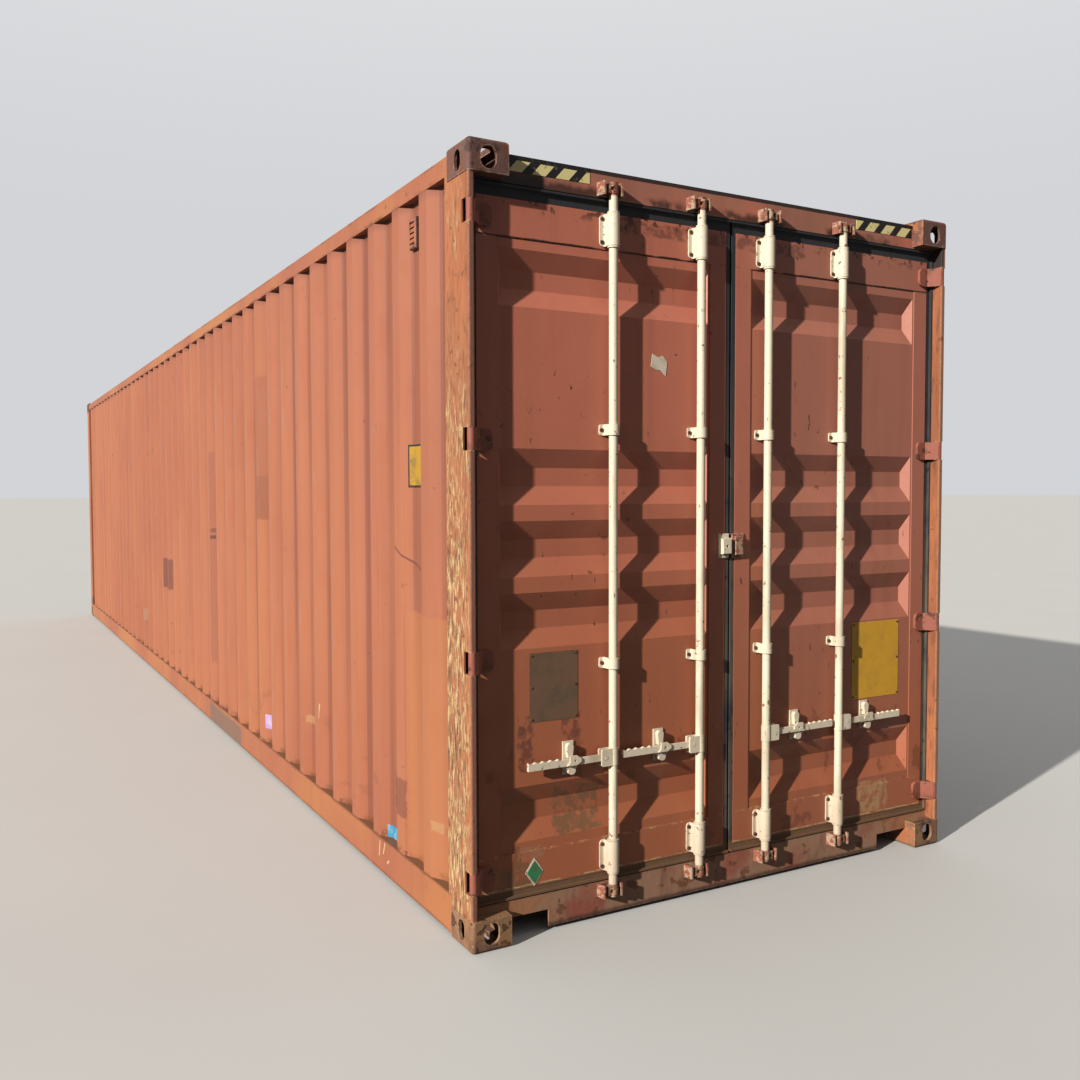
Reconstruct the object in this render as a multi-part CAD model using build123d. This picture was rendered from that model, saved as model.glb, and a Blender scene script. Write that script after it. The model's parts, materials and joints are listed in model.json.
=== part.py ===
from build123d import *
import os

# A 40 ft high-cube shipping container, in millimetres.
# X runs along the length with the doors at +X, Y across with the left wall at -Y, Z up.
# The origin is on the ground under the middle.

# Overall size
LENGTH = 12192.0
WIDTH = 2438.0
HEIGHT = 2896.0

# Corner castings: hollow boxes with a twist-lock slot and two lashing holes
CASTING_LENGTH = 178.0
CASTING_WIDTH = 162.0
CASTING_HEIGHT = 118.0
CASTING_PLATE = 24.0
CASTING_WALL = 12.0
CASTING_ROUND = 16.0
SLOT_LENGTH = 124.0
SLOT_WIDTH = 63.5
SLOT_FROM_END = 103.5
SLOT_FROM_SIDE = 89.5
END_HOLE_WIDTH = 63.5
END_HOLE_HEIGHT = 80.0
SIDE_HOLE_WIDTH = 51.0
SIDE_HOLE_HEIGHT = 76.0

# Corner posts, set back a little from the casting faces
POST_PLATE = 6.0
POST_SIDE_SETBACK = 3.0
POST_END_SETBACK = 5.0
POST_FLANGE = 200.0
DOOR_POST_WIDTH = 46.0
DOOR_POST_NOSE = 25.0
DOOR_POST_ROUND = 7.0
FRONT_POST_LIP = 50.0
FRONT_POST_SIDE_LIP = 46.0

# Rails along the sides
TOP_RAIL_WIDTH = 60.0
TOP_RAIL_HEIGHT = 70.0
TOP_RAIL_WALL = 4.0
TOP_RAIL_SETBACK = 5.0
ROOF_LINE_DROP = 22.0
BOTTOM_RAIL_TOP = 165.0
BOTTOM_RAIL_LIFT = 16.0
BOTTOM_RAIL_PLATE = 4.5
BOTTOM_RAIL_TOP_FLANGE = 48.0
BOTTOM_RAIL_LOW_FLANGE = 30.0

# Trapezoid sheets of the side walls and the front wall
SHEET = 2.0
WALL_SETBACK = 6.0
WALL_DEPTH = 36.0
WALL_OUTER_FLAT = 72.0
WALL_SLOPE = 70.0
WALL_INNER_FLAT = 72.0
WALL_LEAST_MARGIN = 60.0
FRONT_WALL_SETBACK = 13.0
FRONT_WALL_DEPTH = 45.0
FRONT_OUTER_FLAT = 110.0
FRONT_SLOPE = 18.0
FRONT_INNER_FLAT = 104.0

# Front end rails
FRONT_RAIL_SETBACK = 10.0
FRONT_RAIL_DEPTH = 60.0
FRONT_RAIL_PLATE = 6.0

# Roof sheet with pressed cross ribs
ROOF_RIB_PITCH = 300.0
ROOF_RIB_FOOT = 190.0
ROOF_RIB_CREST = 150.0
ROOF_RIB_HEIGHT = 12.0
ROOF_RIB_EDGE = 52.5
ROOF_SIDE_LAP = 46.0
ROOF_HEADER_LAP = 60.0

# Floor, cross members and the gooseneck tunnel
FLOOR_THICKNESS = 28.0
FLOOR_ABOVE_RAIL = 2.0
FLOOR_SIDE_GAP = 2.0
CROSS_MEMBER_PITCH = 420.0
CROSS_MEMBER_FLANGE = 45.0
CROSS_MEMBER_PLATE = 4.5
TUNNEL_LENGTH = 3500.0
TUNNEL_WIDTH = 1029.0
TUNNEL_PLATE = 4.0

# Door frame of the container: header and sill
HEADER_DROP = 125.0
FRAME_FACE_SETBACK = 58.0
FRAME_PLATE = 6.0
STOP_HEIGHT = 30.0
SILL_LEDGE = 147.0
SILL_LIFT = 17.0
SILL_NOTCH_LENGTH = 187.0
SILL_NOTCH_TOP = 83.0

# Door leaves
LEAF_FACE_SETBACK = 64.0
LEAF_DEPTH = 50.0
LEAF_WALL = 3.2
STILE_WIDTH = 80.0
LEAF_RAIL_HEIGHT = 137.0
PANEL_SETBACK = 4.0
PRESSING_DEPTH = 36.0
PRESSING_HEIGHT = 208.0
PRESSING_SLOPE = 70.0
PRESSING_END_SLOPE = 28.0
PRESSING_PITCH = 267.0
PRESSING_FRAME_GAP = 38.0
PRESSING_STILE_GAP = 8.0
GASKET_LIP = 2.0
GASKET_FOOT_WIDTH = 28.0
GASKET_TOP_WIDTH = 47.0
GASKET_SIDE_WIDTH = 30.0
GASKET_CENTRE_WIDTH = 20.5
GASKET_RIM_WIDTH = 8.0
GASKET_RIM_RISE = 11.0
GASKET_SIDE_GAP = 2.0
DOOR_GAP = 5.0
CENTRE_GAP = 11.0

# Hinges: a blade with a knuckle turning on a pin between two lugs in the post's nose
HINGE_COUNT = 4
HINGE_HEIGHT = 80.0
HINGE_FROM_END = 72.0
HINGE_PLAY = 1.0
HINGE_LUG = 10.0
PIN_RADIUS = 8.0
PIN_PLAY = 0.3
PIN_FROM_END = 20.0
PIN_FROM_SIDE = 18.0
KNUCKLE_RADIUS = 15.0
NOSE_CUT = 54.0
BLADE_THICKNESS = 12.0
BLADE_REACH = 100.0
BLADE_ROUND = 22.0
BLADE_LEAD = 12.0
BLADE_EDGE_GAP = 2.0

# Lock rods, their straps, cams and keepers
ROD_RADIUS = 17.0
ROD_STAND_OFF = 32.0
ROD_OUTER = 596.0
ROD_INNER = 176.0
ROD_PLAY = 1.0
STRAP_PLATE = 6.0
STRAP_WIDTH = 88.0
STRAP_HEIGHT = 121.0
STRAP_ROUND = 18.0
STRAP_BEND = 8.0
GUIDE_HEIGHT = 42.0
GUIDE_ROUND = 10.0
GUIDE_OFFSET = 448.0
COLLAR_RADIUS = 23.0
COLLAR_HEIGHT = 6.0
CAM_REACH = 38.0
CAM_HEIGHT = 34.0
CAM_HUB_RADIUS = 20.0
CAM_ARM_WIDTH = 26.0
CAM_ARM_LENGTH = 31.5
CAM_EYE_RADIUS = 8.0
CAM_EYE_OFFSET = 13.0
CAM_EYE_DEPTH = 14.0
KEEPER_HEIGHT = 50.0
KEEPER_PLATE = 4.0
KEEPER_PRONG = 14.0
KEEPER_DEPTH = 44.0
KEEPER_CLEAR = 6.0
KEEPER_ABOVE_HEADER_EDGE = 30.0
KEEPER_BELOW_LEDGE = 32.0

# Handles, their clevis hubs and rests
HANDLE_LEVEL = 640.0
HANDLE_LENGTH = 336.0
HANDLE_THICKNESS = 14.0
HANDLE_HEIGHT = 24.0
HANDLE_EYE = 15.0
HANDLE_PIVOT = 40.0
HANDLE_PIN_RADIUS = 7.0
HANDLE_PLAY = 1.0
GRIP_LENGTH = 130.0
GRIP_HEIGHT = 30.0
GRIP_WAVES = 4
GRIP_WAVE_RADIUS = 20.0
GRIP_WAVE_DEPTH = 5.0
LUG_THICKNESS = 6.0
LUG_WING = 34.0
LUG_WING_HEIGHT = 12.0
LUG_HALF_WIDTH = 15.0
LUG_TOP = 26.0
LUG_FOOT = 28.0
LUG_BOTTOM = 11.0
LUG_HOLE_RADIUS = 5.0
HUB_RADIUS = 20.0
CLEVIS_CHEEK = 8.0
CLEVIS_REACH = 60.0
CLEVIS_HEIGHT = 66.0
CLEVIS_ROUND = 6.0
REST_OFFSET = 185.0
REST_WIDTH = 46.0
REST_PLATE = 6.0
REST_ABOVE = 74.0
REST_BELOW = 36.0
REST_SHELF = 8.0
REST_BOSS_RADIUS = 14.0
REST_BOSS_RISE = 54.0
REST_NECK_WIDTH = 18.0
REST_NECK_RISE = 12.0
REST_DISC_RADIUS = 16.0
REST_CLEAR = 5.0

# Centre lock: a block on the left leaf and a bracket on the right leaf
LOCK_LEVEL = 1437.0
LOCK_HEIGHT = 102.0
LOCK_PLATE = 6.0
LOCK_PLATE_OUTER = 62.0
LOCK_BLOCK_INNER = 6.0
LOCK_BLOCK_OUTER = 52.0
LOCK_BLOCK_DEPTH = 24.0
LOCK_BLOCK_HEIGHT = 66.0
LOCK_BRACKET_INNER = 8.0
LOCK_BRACKET_OUTER = 72.0
LOCK_PAD_INNER = 18.0
LOCK_PAD_OUTER = 60.0
LOCK_PAD_HEIGHT = 78.0
LOCK_PAD_DEPTH = 18.0
LOCK_CHAMFER = 3.0
LOCK_HOLE_RADIUS = 6.0
LOCK_HOLE_DEPTH = 10.0

# Side vents near the door end
VENT_HEIGHT = 122.0
VENT_WIDTH = 66.0
VENT_DEPTH = 22.0
VENT_BELOW_RAIL = 62.0
VENT_RECESS_INDEX = 1
VENT_LOUVRES = 5
VENT_CHAMFER = 5.5
VENT_SLIT_LENGTH = 46.0
VENT_SLIT_HEIGHT = 7.0
VENT_SLIT_DEPTH = 5.5

# How near an edge or corner must lie to a plane to be picked for rounding
NEAR = 1.0

# Places that follow from the sizes above
END = LENGTH / 2
SIDE = WIDTH / 2
CASTING_END = END - CASTING_LENGTH
CASTING_SIDE = SIDE - CASTING_WIDTH
POST_TOP = HEIGHT - CASTING_HEIGHT
POST_OUTSIDE = SIDE - POST_SIDE_SETBACK
POST_NOSE = END - POST_END_SETBACK
POST_EDGE = POST_NOSE - POST_FLANGE
ROOF_LINE = HEIGHT - ROOF_LINE_DROP
TOP_RAIL_BOTTOM = ROOF_LINE - TOP_RAIL_HEIGHT
TOP_RAIL_OUTSIDE = SIDE - TOP_RAIL_SETBACK
WALL_OUTSIDE = SIDE - WALL_SETBACK
FLOOR_TOP = BOTTOM_RAIL_TOP + FLOOR_ABOVE_RAIL
FLOOR_BOTTOM = FLOOR_TOP - FLOOR_THICKNESS
FLOOR_EDGE = POST_OUTSIDE - BOTTOM_RAIL_TOP_FLANGE - FLOOR_SIDE_GAP
FRONT_RAIL_FACE = END - FRONT_RAIL_SETBACK
FRONT_RAIL_BACK = FRONT_RAIL_FACE - FRONT_RAIL_DEPTH
TUNNEL_TOP = FLOOR_BOTTOM - TUNNEL_PLATE
TUNNEL_END = TUNNEL_LENGTH - END
HEADER_BOTTOM = HEIGHT - HEADER_DROP
FRAME_FACE = END - FRAME_FACE_SETBACK
NOSE_INSIDE = POST_OUTSIDE - DOOR_POST_NOSE
JAMB_INSIDE = POST_OUTSIDE - DOOR_POST_WIDTH
LEAF_FACE = END - LEAF_FACE_SETBACK
LEAF_BACK = LEAF_FACE - LEAF_DEPTH
STOP_FACE = LEAF_BACK - GASKET_LIP - DOOR_GAP
GASKET_OUTER = NOSE_INSIDE - GASKET_SIDE_GAP
GASKET_INNER = CENTRE_GAP / 2
GASKET_BOTTOM = SILL_LEDGE + DOOR_GAP
GASKET_TOP = HEADER_BOTTOM - DOOR_GAP
LEAF_OUTER = GASKET_OUTER - GASKET_SIDE_WIDTH
LEAF_INNER = GASKET_INNER + GASKET_CENTRE_WIDTH
LEAF_BOTTOM = GASKET_BOTTOM + GASKET_FOOT_WIDTH
LEAF_TOP = GASKET_TOP - GASKET_TOP_WIDTH
LEAF_MIDDLE = (LEAF_BOTTOM + LEAF_TOP) / 2
PANEL_FACE = LEAF_FACE - PANEL_SETBACK
PANEL_OUTER = LEAF_OUTER - STILE_WIDTH
PANEL_INNER = LEAF_INNER + STILE_WIDTH
PANEL_BOTTOM = LEAF_BOTTOM + LEAF_RAIL_HEIGHT
PANEL_TOP = LEAF_TOP - LEAF_RAIL_HEIGHT
PIN_X = END - PIN_FROM_END
PIN_Y = SIDE - PIN_FROM_SIDE
ROD_X = LEAF_FACE + ROD_STAND_OFF
HIGH_KEEPER = HEADER_BOTTOM + KEEPER_ABOVE_HEADER_EDGE
LOW_KEEPER = SILL_LEDGE - KEEPER_BELOW_LEDGE


def block(x0, x1, y0, y1, z0, z1):
    """Rectangular solid between two corners."""
    middle = Pos((x0 + x1) / 2, (y0 + y1) / 2, (z0 + z1) / 2)
    return middle * Box(x1 - x0, y1 - y0, z1 - z0)


def upright(points, z0, z1):
    """Prism of a plan outline, (x, y) points, from z0 up to z1."""
    return extrude(Pos(0, 0, z0) * Polygon(*points, align=None), z1 - z0, dir=(0, 0, 1))


def lengthwise(points, x0, x1):
    """Prism of a cross-section, (y, z) points, from x0 to x1."""
    return extrude(Plane.YZ.offset(x0) * Polygon(*points, align=None), x1 - x0, dir=(1, 0, 0))


def crosswise(points, y0, y1):
    """Prism of a side view, (x, z) points, from y0 to y1."""
    return extrude(Plane.XZ.offset(-y0) * Polygon(*points, align=None), y1 - y0, dir=(0, 1, 0))


def post_of(radius, x, y, z0, z1):
    """Upright cylinder."""
    return Pos(x, y, (z0 + z1) / 2) * Cylinder(radius, z1 - z0)


def peg(radius, x0, x1, y, z):
    """Cylinder along X."""
    return Pos((x0 + x1) / 2, y, z) * Rot(0, 90, 0) * Cylinder(radius, x1 - x0)


def tile(width, height, rounding, y, z, x0, x1):
    """Plate with rounded corners that faces +X, centred on (y, z), from x0 to x1."""
    face = Plane.YZ.offset(x0) * Pos(y, z) * RectangleRounded(width, height, rounding)
    return extrude(face, x1 - x0, dir=(1, 0, 0))


def handed(shape, side):
    """A piece drawn on the right (+Y) side, or its mirror image for the left."""
    return shape if side > 0 else mirror(shape, about=Plane.XZ)


def wave_line(span, crest, slope, valley, depth, least_margin):
    """Points (run, depth from the crest plane) of a trapezoid sheet, with equal flat margins."""
    pitch = crest + 2 * slope + valley
    waves = int((span - 2 * least_margin + valley) // pitch)
    margin = (span - waves * pitch + valley) / 2
    points = [(-span / 2, depth)]
    run = margin - span / 2
    for _ in range(waves):
        for step, level in ((0, depth), (slope, 0), (crest, 0), (slope, depth)):
            run += step
            points.append((run, level))
        run += valley
    points.append((span / 2, depth))
    return points


def levels(first, last, count):
    """Evenly spaced values from first to last."""
    return [first + (last - first) * i / (count - 1) for i in range(count)]


def casting():
    """Top corner casting at the right of the door end."""
    shell = block(CASTING_END, END, CASTING_SIDE, SIDE, POST_TOP, HEIGHT)
    top_edges = shell.faces().sort_by(Axis.Z)[-1].edges()
    outer_corner = shell.edges().filter_by(Axis.Z).sort_by(lambda e: e.center().X + e.center().Y)[-1]
    shell = fillet([*top_edges, outer_corner], CASTING_ROUND)
    cavity_low = POST_TOP + CASTING_WALL
    cavity_high = HEIGHT - CASTING_PLATE
    hole_level = (cavity_low + cavity_high) / 2
    shell -= block(CASTING_END + CASTING_WALL, END - CASTING_WALL, CASTING_SIDE + CASTING_WALL,
                   SIDE - CASTING_WALL, cavity_low, cavity_high)
    slot = extrude(SlotOverall(SLOT_LENGTH, SLOT_WIDTH), 2 * CASTING_PLATE, both=True)
    shell -= Pos(END - SLOT_FROM_END, SIDE - SLOT_FROM_SIDE, HEIGHT) * slot
    end_hole = extrude(Plane.YZ * SlotOverall(END_HOLE_HEIGHT, END_HOLE_WIDTH, rotation=90),
                       2 * CASTING_WALL, both=True)
    shell -= Pos(END, SIDE - CASTING_WIDTH / 2, hole_level) * end_hole
    side_hole = extrude(Plane.XZ * SlotOverall(SIDE_HOLE_HEIGHT, SIDE_HOLE_WIDTH, rotation=90),
                        2 * CASTING_WALL, both=True)
    return shell - Pos(END - CASTING_LENGTH / 2, SIDE, hole_level) * side_hole


def castings():
    """The four top castings and the four bottom ones."""
    first = casting()
    second = mirror(first, about=Plane.XZ)
    top = [first, second, mirror(first, about=Plane.YZ), mirror(second, about=Plane.YZ)]
    bottom = [mirror(c, about=Plane.XY.offset(HEIGHT / 2)) for c in top]
    return top, bottom


def trimmed_post(post, edge, direction):
    """Fit a post between the castings, with its wall flange between the side rails."""
    x0, x1 = sorted((edge, direction * CASTING_END))
    post -= block(x0, x1, 0, SIDE, 0, BOTTOM_RAIL_TOP)
    x0, x1 = sorted((direction * CASTING_END, direction * END))
    return post - block(x0, x1, 0, SIDE, POST_TOP, HEIGHT)


def hinge_levels():
    """Heights of the hinge centres on a leaf."""
    return levels(LEAF_BOTTOM + HINGE_FROM_END, LEAF_TOP - HINGE_FROM_END, HINGE_COUNT)


def door_post():
    """Right door post: a hollow section with a narrow rounded nose that carries the hinge pins."""
    outline = Polygon((POST_EDGE, POST_OUTSIDE), (POST_NOSE, POST_OUTSIDE), (POST_NOSE, NOSE_INSIDE),
                      (STOP_FACE, NOSE_INSIDE), (STOP_FACE, JAMB_INSIDE), (POST_EDGE, JAMB_INSIDE),
                      align=None)
    hollow = offset(outline, -POST_PLATE, kind=Kind.INTERSECTION)
    nose = [v for v in outline.vertices() if v.X > POST_NOSE - NEAR]
    section = Pos(0, 0, CASTING_HEIGHT) * fillet(nose, DOOR_POST_ROUND)
    filled = extrude(section, TOP_RAIL_BOTTOM - CASTING_HEIGHT, dir=(0, 0, 1))
    post = trimmed_post(filled - extrude(hollow, TOP_RAIL_BOTTOM, dir=(0, 0, 1)), POST_EDGE, 1)
    cut_edge = POST_NOSE - NOSE_CUT
    half = HINGE_HEIGHT / 2 + HINGE_PLAY
    for level in hinge_levels():
        low = level - half
        high = level + half
        post += filled & block(cut_edge, POST_NOSE, NOSE_INSIDE, POST_OUTSIDE,
                               low - HINGE_LUG, high + HINGE_LUG)
        post -= block(cut_edge, POST_NOSE, NOSE_INSIDE, POST_OUTSIDE, low, high)
        post += post_of(PIN_RADIUS, PIN_X, PIN_Y, low - HINGE_LUG, high + HINGE_LUG)
    return post


def front_post():
    """Right front post: an open angle with a lip along each edge."""
    face = -POST_NOSE
    edge = -POST_EDGE
    outline = [(face, POST_OUTSIDE), (edge, POST_OUTSIDE), (edge, POST_OUTSIDE - FRONT_POST_SIDE_LIP),
               (edge - POST_PLATE, POST_OUTSIDE - FRONT_POST_SIDE_LIP),
               (edge - POST_PLATE, POST_OUTSIDE - POST_PLATE),
               (face + POST_PLATE, POST_OUTSIDE - POST_PLATE),
               (face + POST_PLATE, CASTING_SIDE + POST_PLATE),
               (face + FRONT_POST_LIP, CASTING_SIDE + POST_PLATE),
               (face + FRONT_POST_LIP, CASTING_SIDE), (face, CASTING_SIDE)]
    return trimmed_post(upright(outline, CASTING_HEIGHT, TOP_RAIL_BOTTOM), edge, -1)


def top_side_rail():
    """Square tube under the roof edge."""
    inside = TOP_RAIL_OUTSIDE - TOP_RAIL_WIDTH
    tube = block(-CASTING_END, CASTING_END, inside, TOP_RAIL_OUTSIDE, TOP_RAIL_BOTTOM, ROOF_LINE)
    return tube - block(-CASTING_END, CASTING_END, inside + TOP_RAIL_WALL, TOP_RAIL_OUTSIDE - TOP_RAIL_WALL,
                        TOP_RAIL_BOTTOM + TOP_RAIL_WALL, ROOF_LINE - TOP_RAIL_WALL)


def bottom_side_rail():
    """Channel that opens inwards."""
    out = POST_OUTSIDE
    web = out - BOTTOM_RAIL_PLATE
    low = BOTTOM_RAIL_LIFT
    high = BOTTOM_RAIL_TOP
    section = [(out, low), (out, high), (out - BOTTOM_RAIL_TOP_FLANGE, high),
               (out - BOTTOM_RAIL_TOP_FLANGE, high - BOTTOM_RAIL_PLATE), (web, high - BOTTOM_RAIL_PLATE),
               (web, low + BOTTOM_RAIL_PLATE), (out - BOTTOM_RAIL_LOW_FLANGE, low + BOTTOM_RAIL_PLATE),
               (out - BOTTOM_RAIL_LOW_FLANGE, low)]
    return lengthwise(section, -CASTING_END, CASTING_END)


def side_wave():
    """Side wall profile between the posts: (x, depth behind the outer face)."""
    return wave_line(2 * POST_EDGE, WALL_OUTER_FLAT, WALL_SLOPE, WALL_INNER_FLAT, WALL_DEPTH,
                     WALL_LEAST_MARGIN)


def side_wall():
    """Trapezoid sheet between the side rails."""
    outside = [(x, WALL_OUTSIDE - depth) for x, depth in side_wave()]
    inside = [(x, y - SHEET) for x, y in reversed(outside)]
    return upright(outside + inside, BOTTOM_RAIL_TOP, TOP_RAIL_BOTTOM)


def front_wall():
    """Trapezoid sheet between the front posts."""
    face = FRONT_WALL_SETBACK - END
    wave = wave_line(2 * CASTING_SIDE, FRONT_OUTER_FLAT, FRONT_SLOPE, FRONT_INNER_FLAT,
                     FRONT_WALL_DEPTH, WALL_LEAST_MARGIN)
    outside = [(face + depth, y) for y, depth in wave]
    inside = [(x + SHEET, y) for x, y in reversed(outside)]
    return upright(outside + inside, BOTTOM_RAIL_TOP, TOP_RAIL_BOTTOM)


def front_top_rail():
    """Square tube across the top of the front end."""
    tube = block(-FRONT_RAIL_FACE, -FRONT_RAIL_BACK, -CASTING_SIDE, CASTING_SIDE,
                 TOP_RAIL_BOTTOM, ROOF_LINE)
    return tube - block(TOP_RAIL_WALL - FRONT_RAIL_FACE, -FRONT_RAIL_BACK - TOP_RAIL_WALL,
                        -CASTING_SIDE, CASTING_SIDE,
                        TOP_RAIL_BOTTOM + TOP_RAIL_WALL, ROOF_LINE - TOP_RAIL_WALL)


def front_bottom_rail():
    """Channel across the foot of the front end, open over the gooseneck tunnel."""
    face = -FRONT_RAIL_FACE
    back = -FRONT_RAIL_BACK
    low = BOTTOM_RAIL_LIFT + BOTTOM_RAIL_PLATE
    high = BOTTOM_RAIL_TOP
    section = [(face, low), (face, high), (back, high), (back, high - FRONT_RAIL_PLATE),
               (face + FRONT_RAIL_PLATE, high - FRONT_RAIL_PLATE),
               (face + FRONT_RAIL_PLATE, low + FRONT_RAIL_PLATE),
               (back, low + FRONT_RAIL_PLATE), (back, low)]
    rail = crosswise(section, -CASTING_SIDE, CASTING_SIDE)
    return rail - block(face, back, -TUNNEL_WIDTH / 2, TUNNEL_WIDTH / 2, low, TUNNEL_TOP)


def gooseneck_tunnel():
    """Folded plate under the front of the floor, closed at its inner end."""
    low = BOTTOM_RAIL_LIFT + BOTTOM_RAIL_PLATE
    half = TUNNEL_WIDTH / 2
    tunnel = block(-FRONT_RAIL_BACK, TUNNEL_END, -half - TUNNEL_PLATE, half + TUNNEL_PLATE,
                   low, FLOOR_BOTTOM)
    return tunnel - block(-FRONT_RAIL_BACK, TUNNEL_END - TUNNEL_PLATE, -half, half, low, TUNNEL_TOP)


def floor_boards():
    """The floor slab, from the front rail to the sill."""
    return block(-FRONT_RAIL_BACK, CASTING_END, -FLOOR_EDGE, FLOOR_EDGE, FLOOR_BOTTOM, FLOOR_TOP)


def cross_members():
    """Channels under the floor, stopped at the gooseneck tunnel's sides."""
    low = BOTTOM_RAIL_LIFT + BOTTOM_RAIL_PLATE
    reach = POST_OUTSIDE - BOTTOM_RAIL_PLATE
    plate = CROSS_MEMBER_PLATE
    count = int(2 * CASTING_END // CROSS_MEMBER_PITCH)
    tunnel_side = TUNNEL_WIDTH / 2 + TUNNEL_PLATE
    members = []
    for x in levels(CROSS_MEMBER_FLANGE - CASTING_END, CASTING_END - 2 * CROSS_MEMBER_FLANGE, count):
        channel = [(x, low), (x, FLOOR_BOTTOM), (x + CROSS_MEMBER_FLANGE, FLOOR_BOTTOM),
                   (x + CROSS_MEMBER_FLANGE, FLOOR_BOTTOM - plate), (x + plate, FLOOR_BOTTOM - plate),
                   (x + plate, low + plate), (x + CROSS_MEMBER_FLANGE, low + plate),
                   (x + CROSS_MEMBER_FLANGE, low)]
        if x < TUNNEL_END:
            members.append(crosswise(channel, tunnel_side, reach))
            members.append(crosswise(channel, -reach, -tunnel_side))
        else:
            members.append(crosswise(channel, -reach, reach))
    return members


def roof_rib(x):
    """Solid of one pressed rib, raised from the roof sheet."""
    half = CASTING_SIDE - ROOF_RIB_EDGE
    step = (ROOF_RIB_FOOT - ROOF_RIB_CREST) / 2
    foot = Pos(x, 0, ROOF_LINE + SHEET) * Rectangle(ROOF_RIB_FOOT, 2 * half)
    crest = Pos(x, 0, ROOF_LINE + SHEET + ROOF_RIB_HEIGHT) * Rectangle(ROOF_RIB_CREST, 2 * (half - step))
    return loft([foot.face(), crest.face()])


def roof_panel():
    """Roof sheet with pressed cross ribs, notched round the castings."""
    edge = TOP_RAIL_OUTSIDE - TOP_RAIL_WIDTH + ROOF_SIDE_LAP
    roof = block(-FRONT_RAIL_FACE, CASTING_END + ROOF_HEADER_LAP, -CASTING_SIDE, CASTING_SIDE,
                 ROOF_LINE, ROOF_LINE + SHEET)
    roof += block(-CASTING_END, CASTING_END, -edge, edge, ROOF_LINE, ROOF_LINE + SHEET)
    count = int(2 * CASTING_END // ROOF_RIB_PITCH)
    reach = (count - 1) * ROOF_RIB_PITCH / 2
    ribs = [roof_rib(x) for x in levels(-reach, reach, count)]
    return roof + ribs - [Pos(0, 0, -SHEET) * rib for rib in ribs]


def door_header():
    """Hollow beam over the doors with the stop behind them."""
    header = block(CASTING_END, FRAME_FACE, -CASTING_SIDE, CASTING_SIDE, HEADER_BOTTOM, ROOF_LINE)
    header += block(STOP_FACE, FRAME_FACE, -NOSE_INSIDE, NOSE_INSIDE, HEADER_BOTTOM, POST_TOP)
    header += block(CASTING_END, STOP_FACE, -JAMB_INSIDE, JAMB_INSIDE,
                    HEADER_BOTTOM - STOP_HEIGHT, POST_TOP)
    return header - block(CASTING_END + FRAME_PLATE, FRAME_FACE - FRAME_PLATE, -CASTING_SIDE, CASTING_SIDE,
                          HEADER_BOTTOM + FRAME_PLATE, ROOF_LINE - FRAME_PLATE)


def door_sill():
    """Threshold beam, open below, with an upstand behind the doors and notches at its ends."""
    sill = block(CASTING_END, FRAME_FACE, -CASTING_SIDE, CASTING_SIDE, SILL_LIFT, SILL_LEDGE)
    sill += block(STOP_FACE, FRAME_FACE, -NOSE_INSIDE, NOSE_INSIDE, CASTING_HEIGHT, SILL_LEDGE)
    sill += block(CASTING_END, STOP_FACE, -JAMB_INSIDE, JAMB_INSIDE, CASTING_HEIGHT, FLOOR_TOP)
    sill -= block(CASTING_END + FRAME_PLATE, FRAME_FACE - FRAME_PLATE, -CASTING_SIDE, CASTING_SIDE,
                  SILL_LIFT, SILL_LEDGE - FRAME_PLATE)
    for side in (-1, 1):
        y0, y1 = sorted((side * (CASTING_SIDE - SILL_NOTCH_LENGTH), side * CASTING_SIDE))
        sill -= block(FRAME_FACE - FRAME_PLATE, FRAME_FACE, y0, y1, SILL_LIFT, SILL_NOTCH_TOP)
    return sill


def side_vent():
    """Louvred cover in a recess of the right wall near the door end."""
    wave = side_wave()
    recess = wave[-2 - 4 * VENT_RECESS_INDEX][0] + WALL_INNER_FLAT / 2
    seat = WALL_OUTSIDE - WALL_DEPTH
    high = TOP_RAIL_BOTTOM - VENT_BELOW_RAIL
    low = high - VENT_HEIGHT
    cover = block(recess - VENT_WIDTH / 2, recess + VENT_WIDTH / 2, seat, seat + VENT_DEPTH, low, high)
    cover = chamfer(cover.faces().sort_by(Axis.Y)[-1].edges(), VENT_CHAMFER)
    step = VENT_HEIGHT / (VENT_LOUVRES + 1)
    for i in range(VENT_LOUVRES):
        slit = Box(VENT_SLIT_LENGTH, 2 * VENT_SLIT_DEPTH, VENT_SLIT_HEIGHT)
        cover -= Pos(recess, seat + VENT_DEPTH, low + step * (i + 1)) * slit
    return cover


def keeper(y, level):
    """Cam keeper on the header or sill: a plate with a prong each side of the cam."""
    hinge_side = y + CAM_REACH + KEEPER_CLEAR
    centre_side = y - CAM_HUB_RADIUS - KEEPER_CLEAR
    face = FRAME_FACE + KEEPER_PLATE
    tip = FRAME_FACE + KEEPER_DEPTH
    outline = [(FRAME_FACE, centre_side - KEEPER_PRONG), (tip, centre_side - KEEPER_PRONG / 2),
               (tip, centre_side), (face, centre_side), (face, hinge_side), (tip, hinge_side),
               (tip, hinge_side + KEEPER_PRONG / 2), (FRAME_FACE, hinge_side + KEEPER_PRONG)]
    return upright(outline, level - KEEPER_HEIGHT / 2, level + KEEPER_HEIGHT / 2)


def cam_keepers():
    """Keepers at both ends of the four rods."""
    right = [keeper(y, level) for y in (ROD_INNER, ROD_OUTER) for level in (HIGH_KEEPER, LOW_KEEPER)]
    return right + [handed(k, -1) for k in right]


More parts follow.
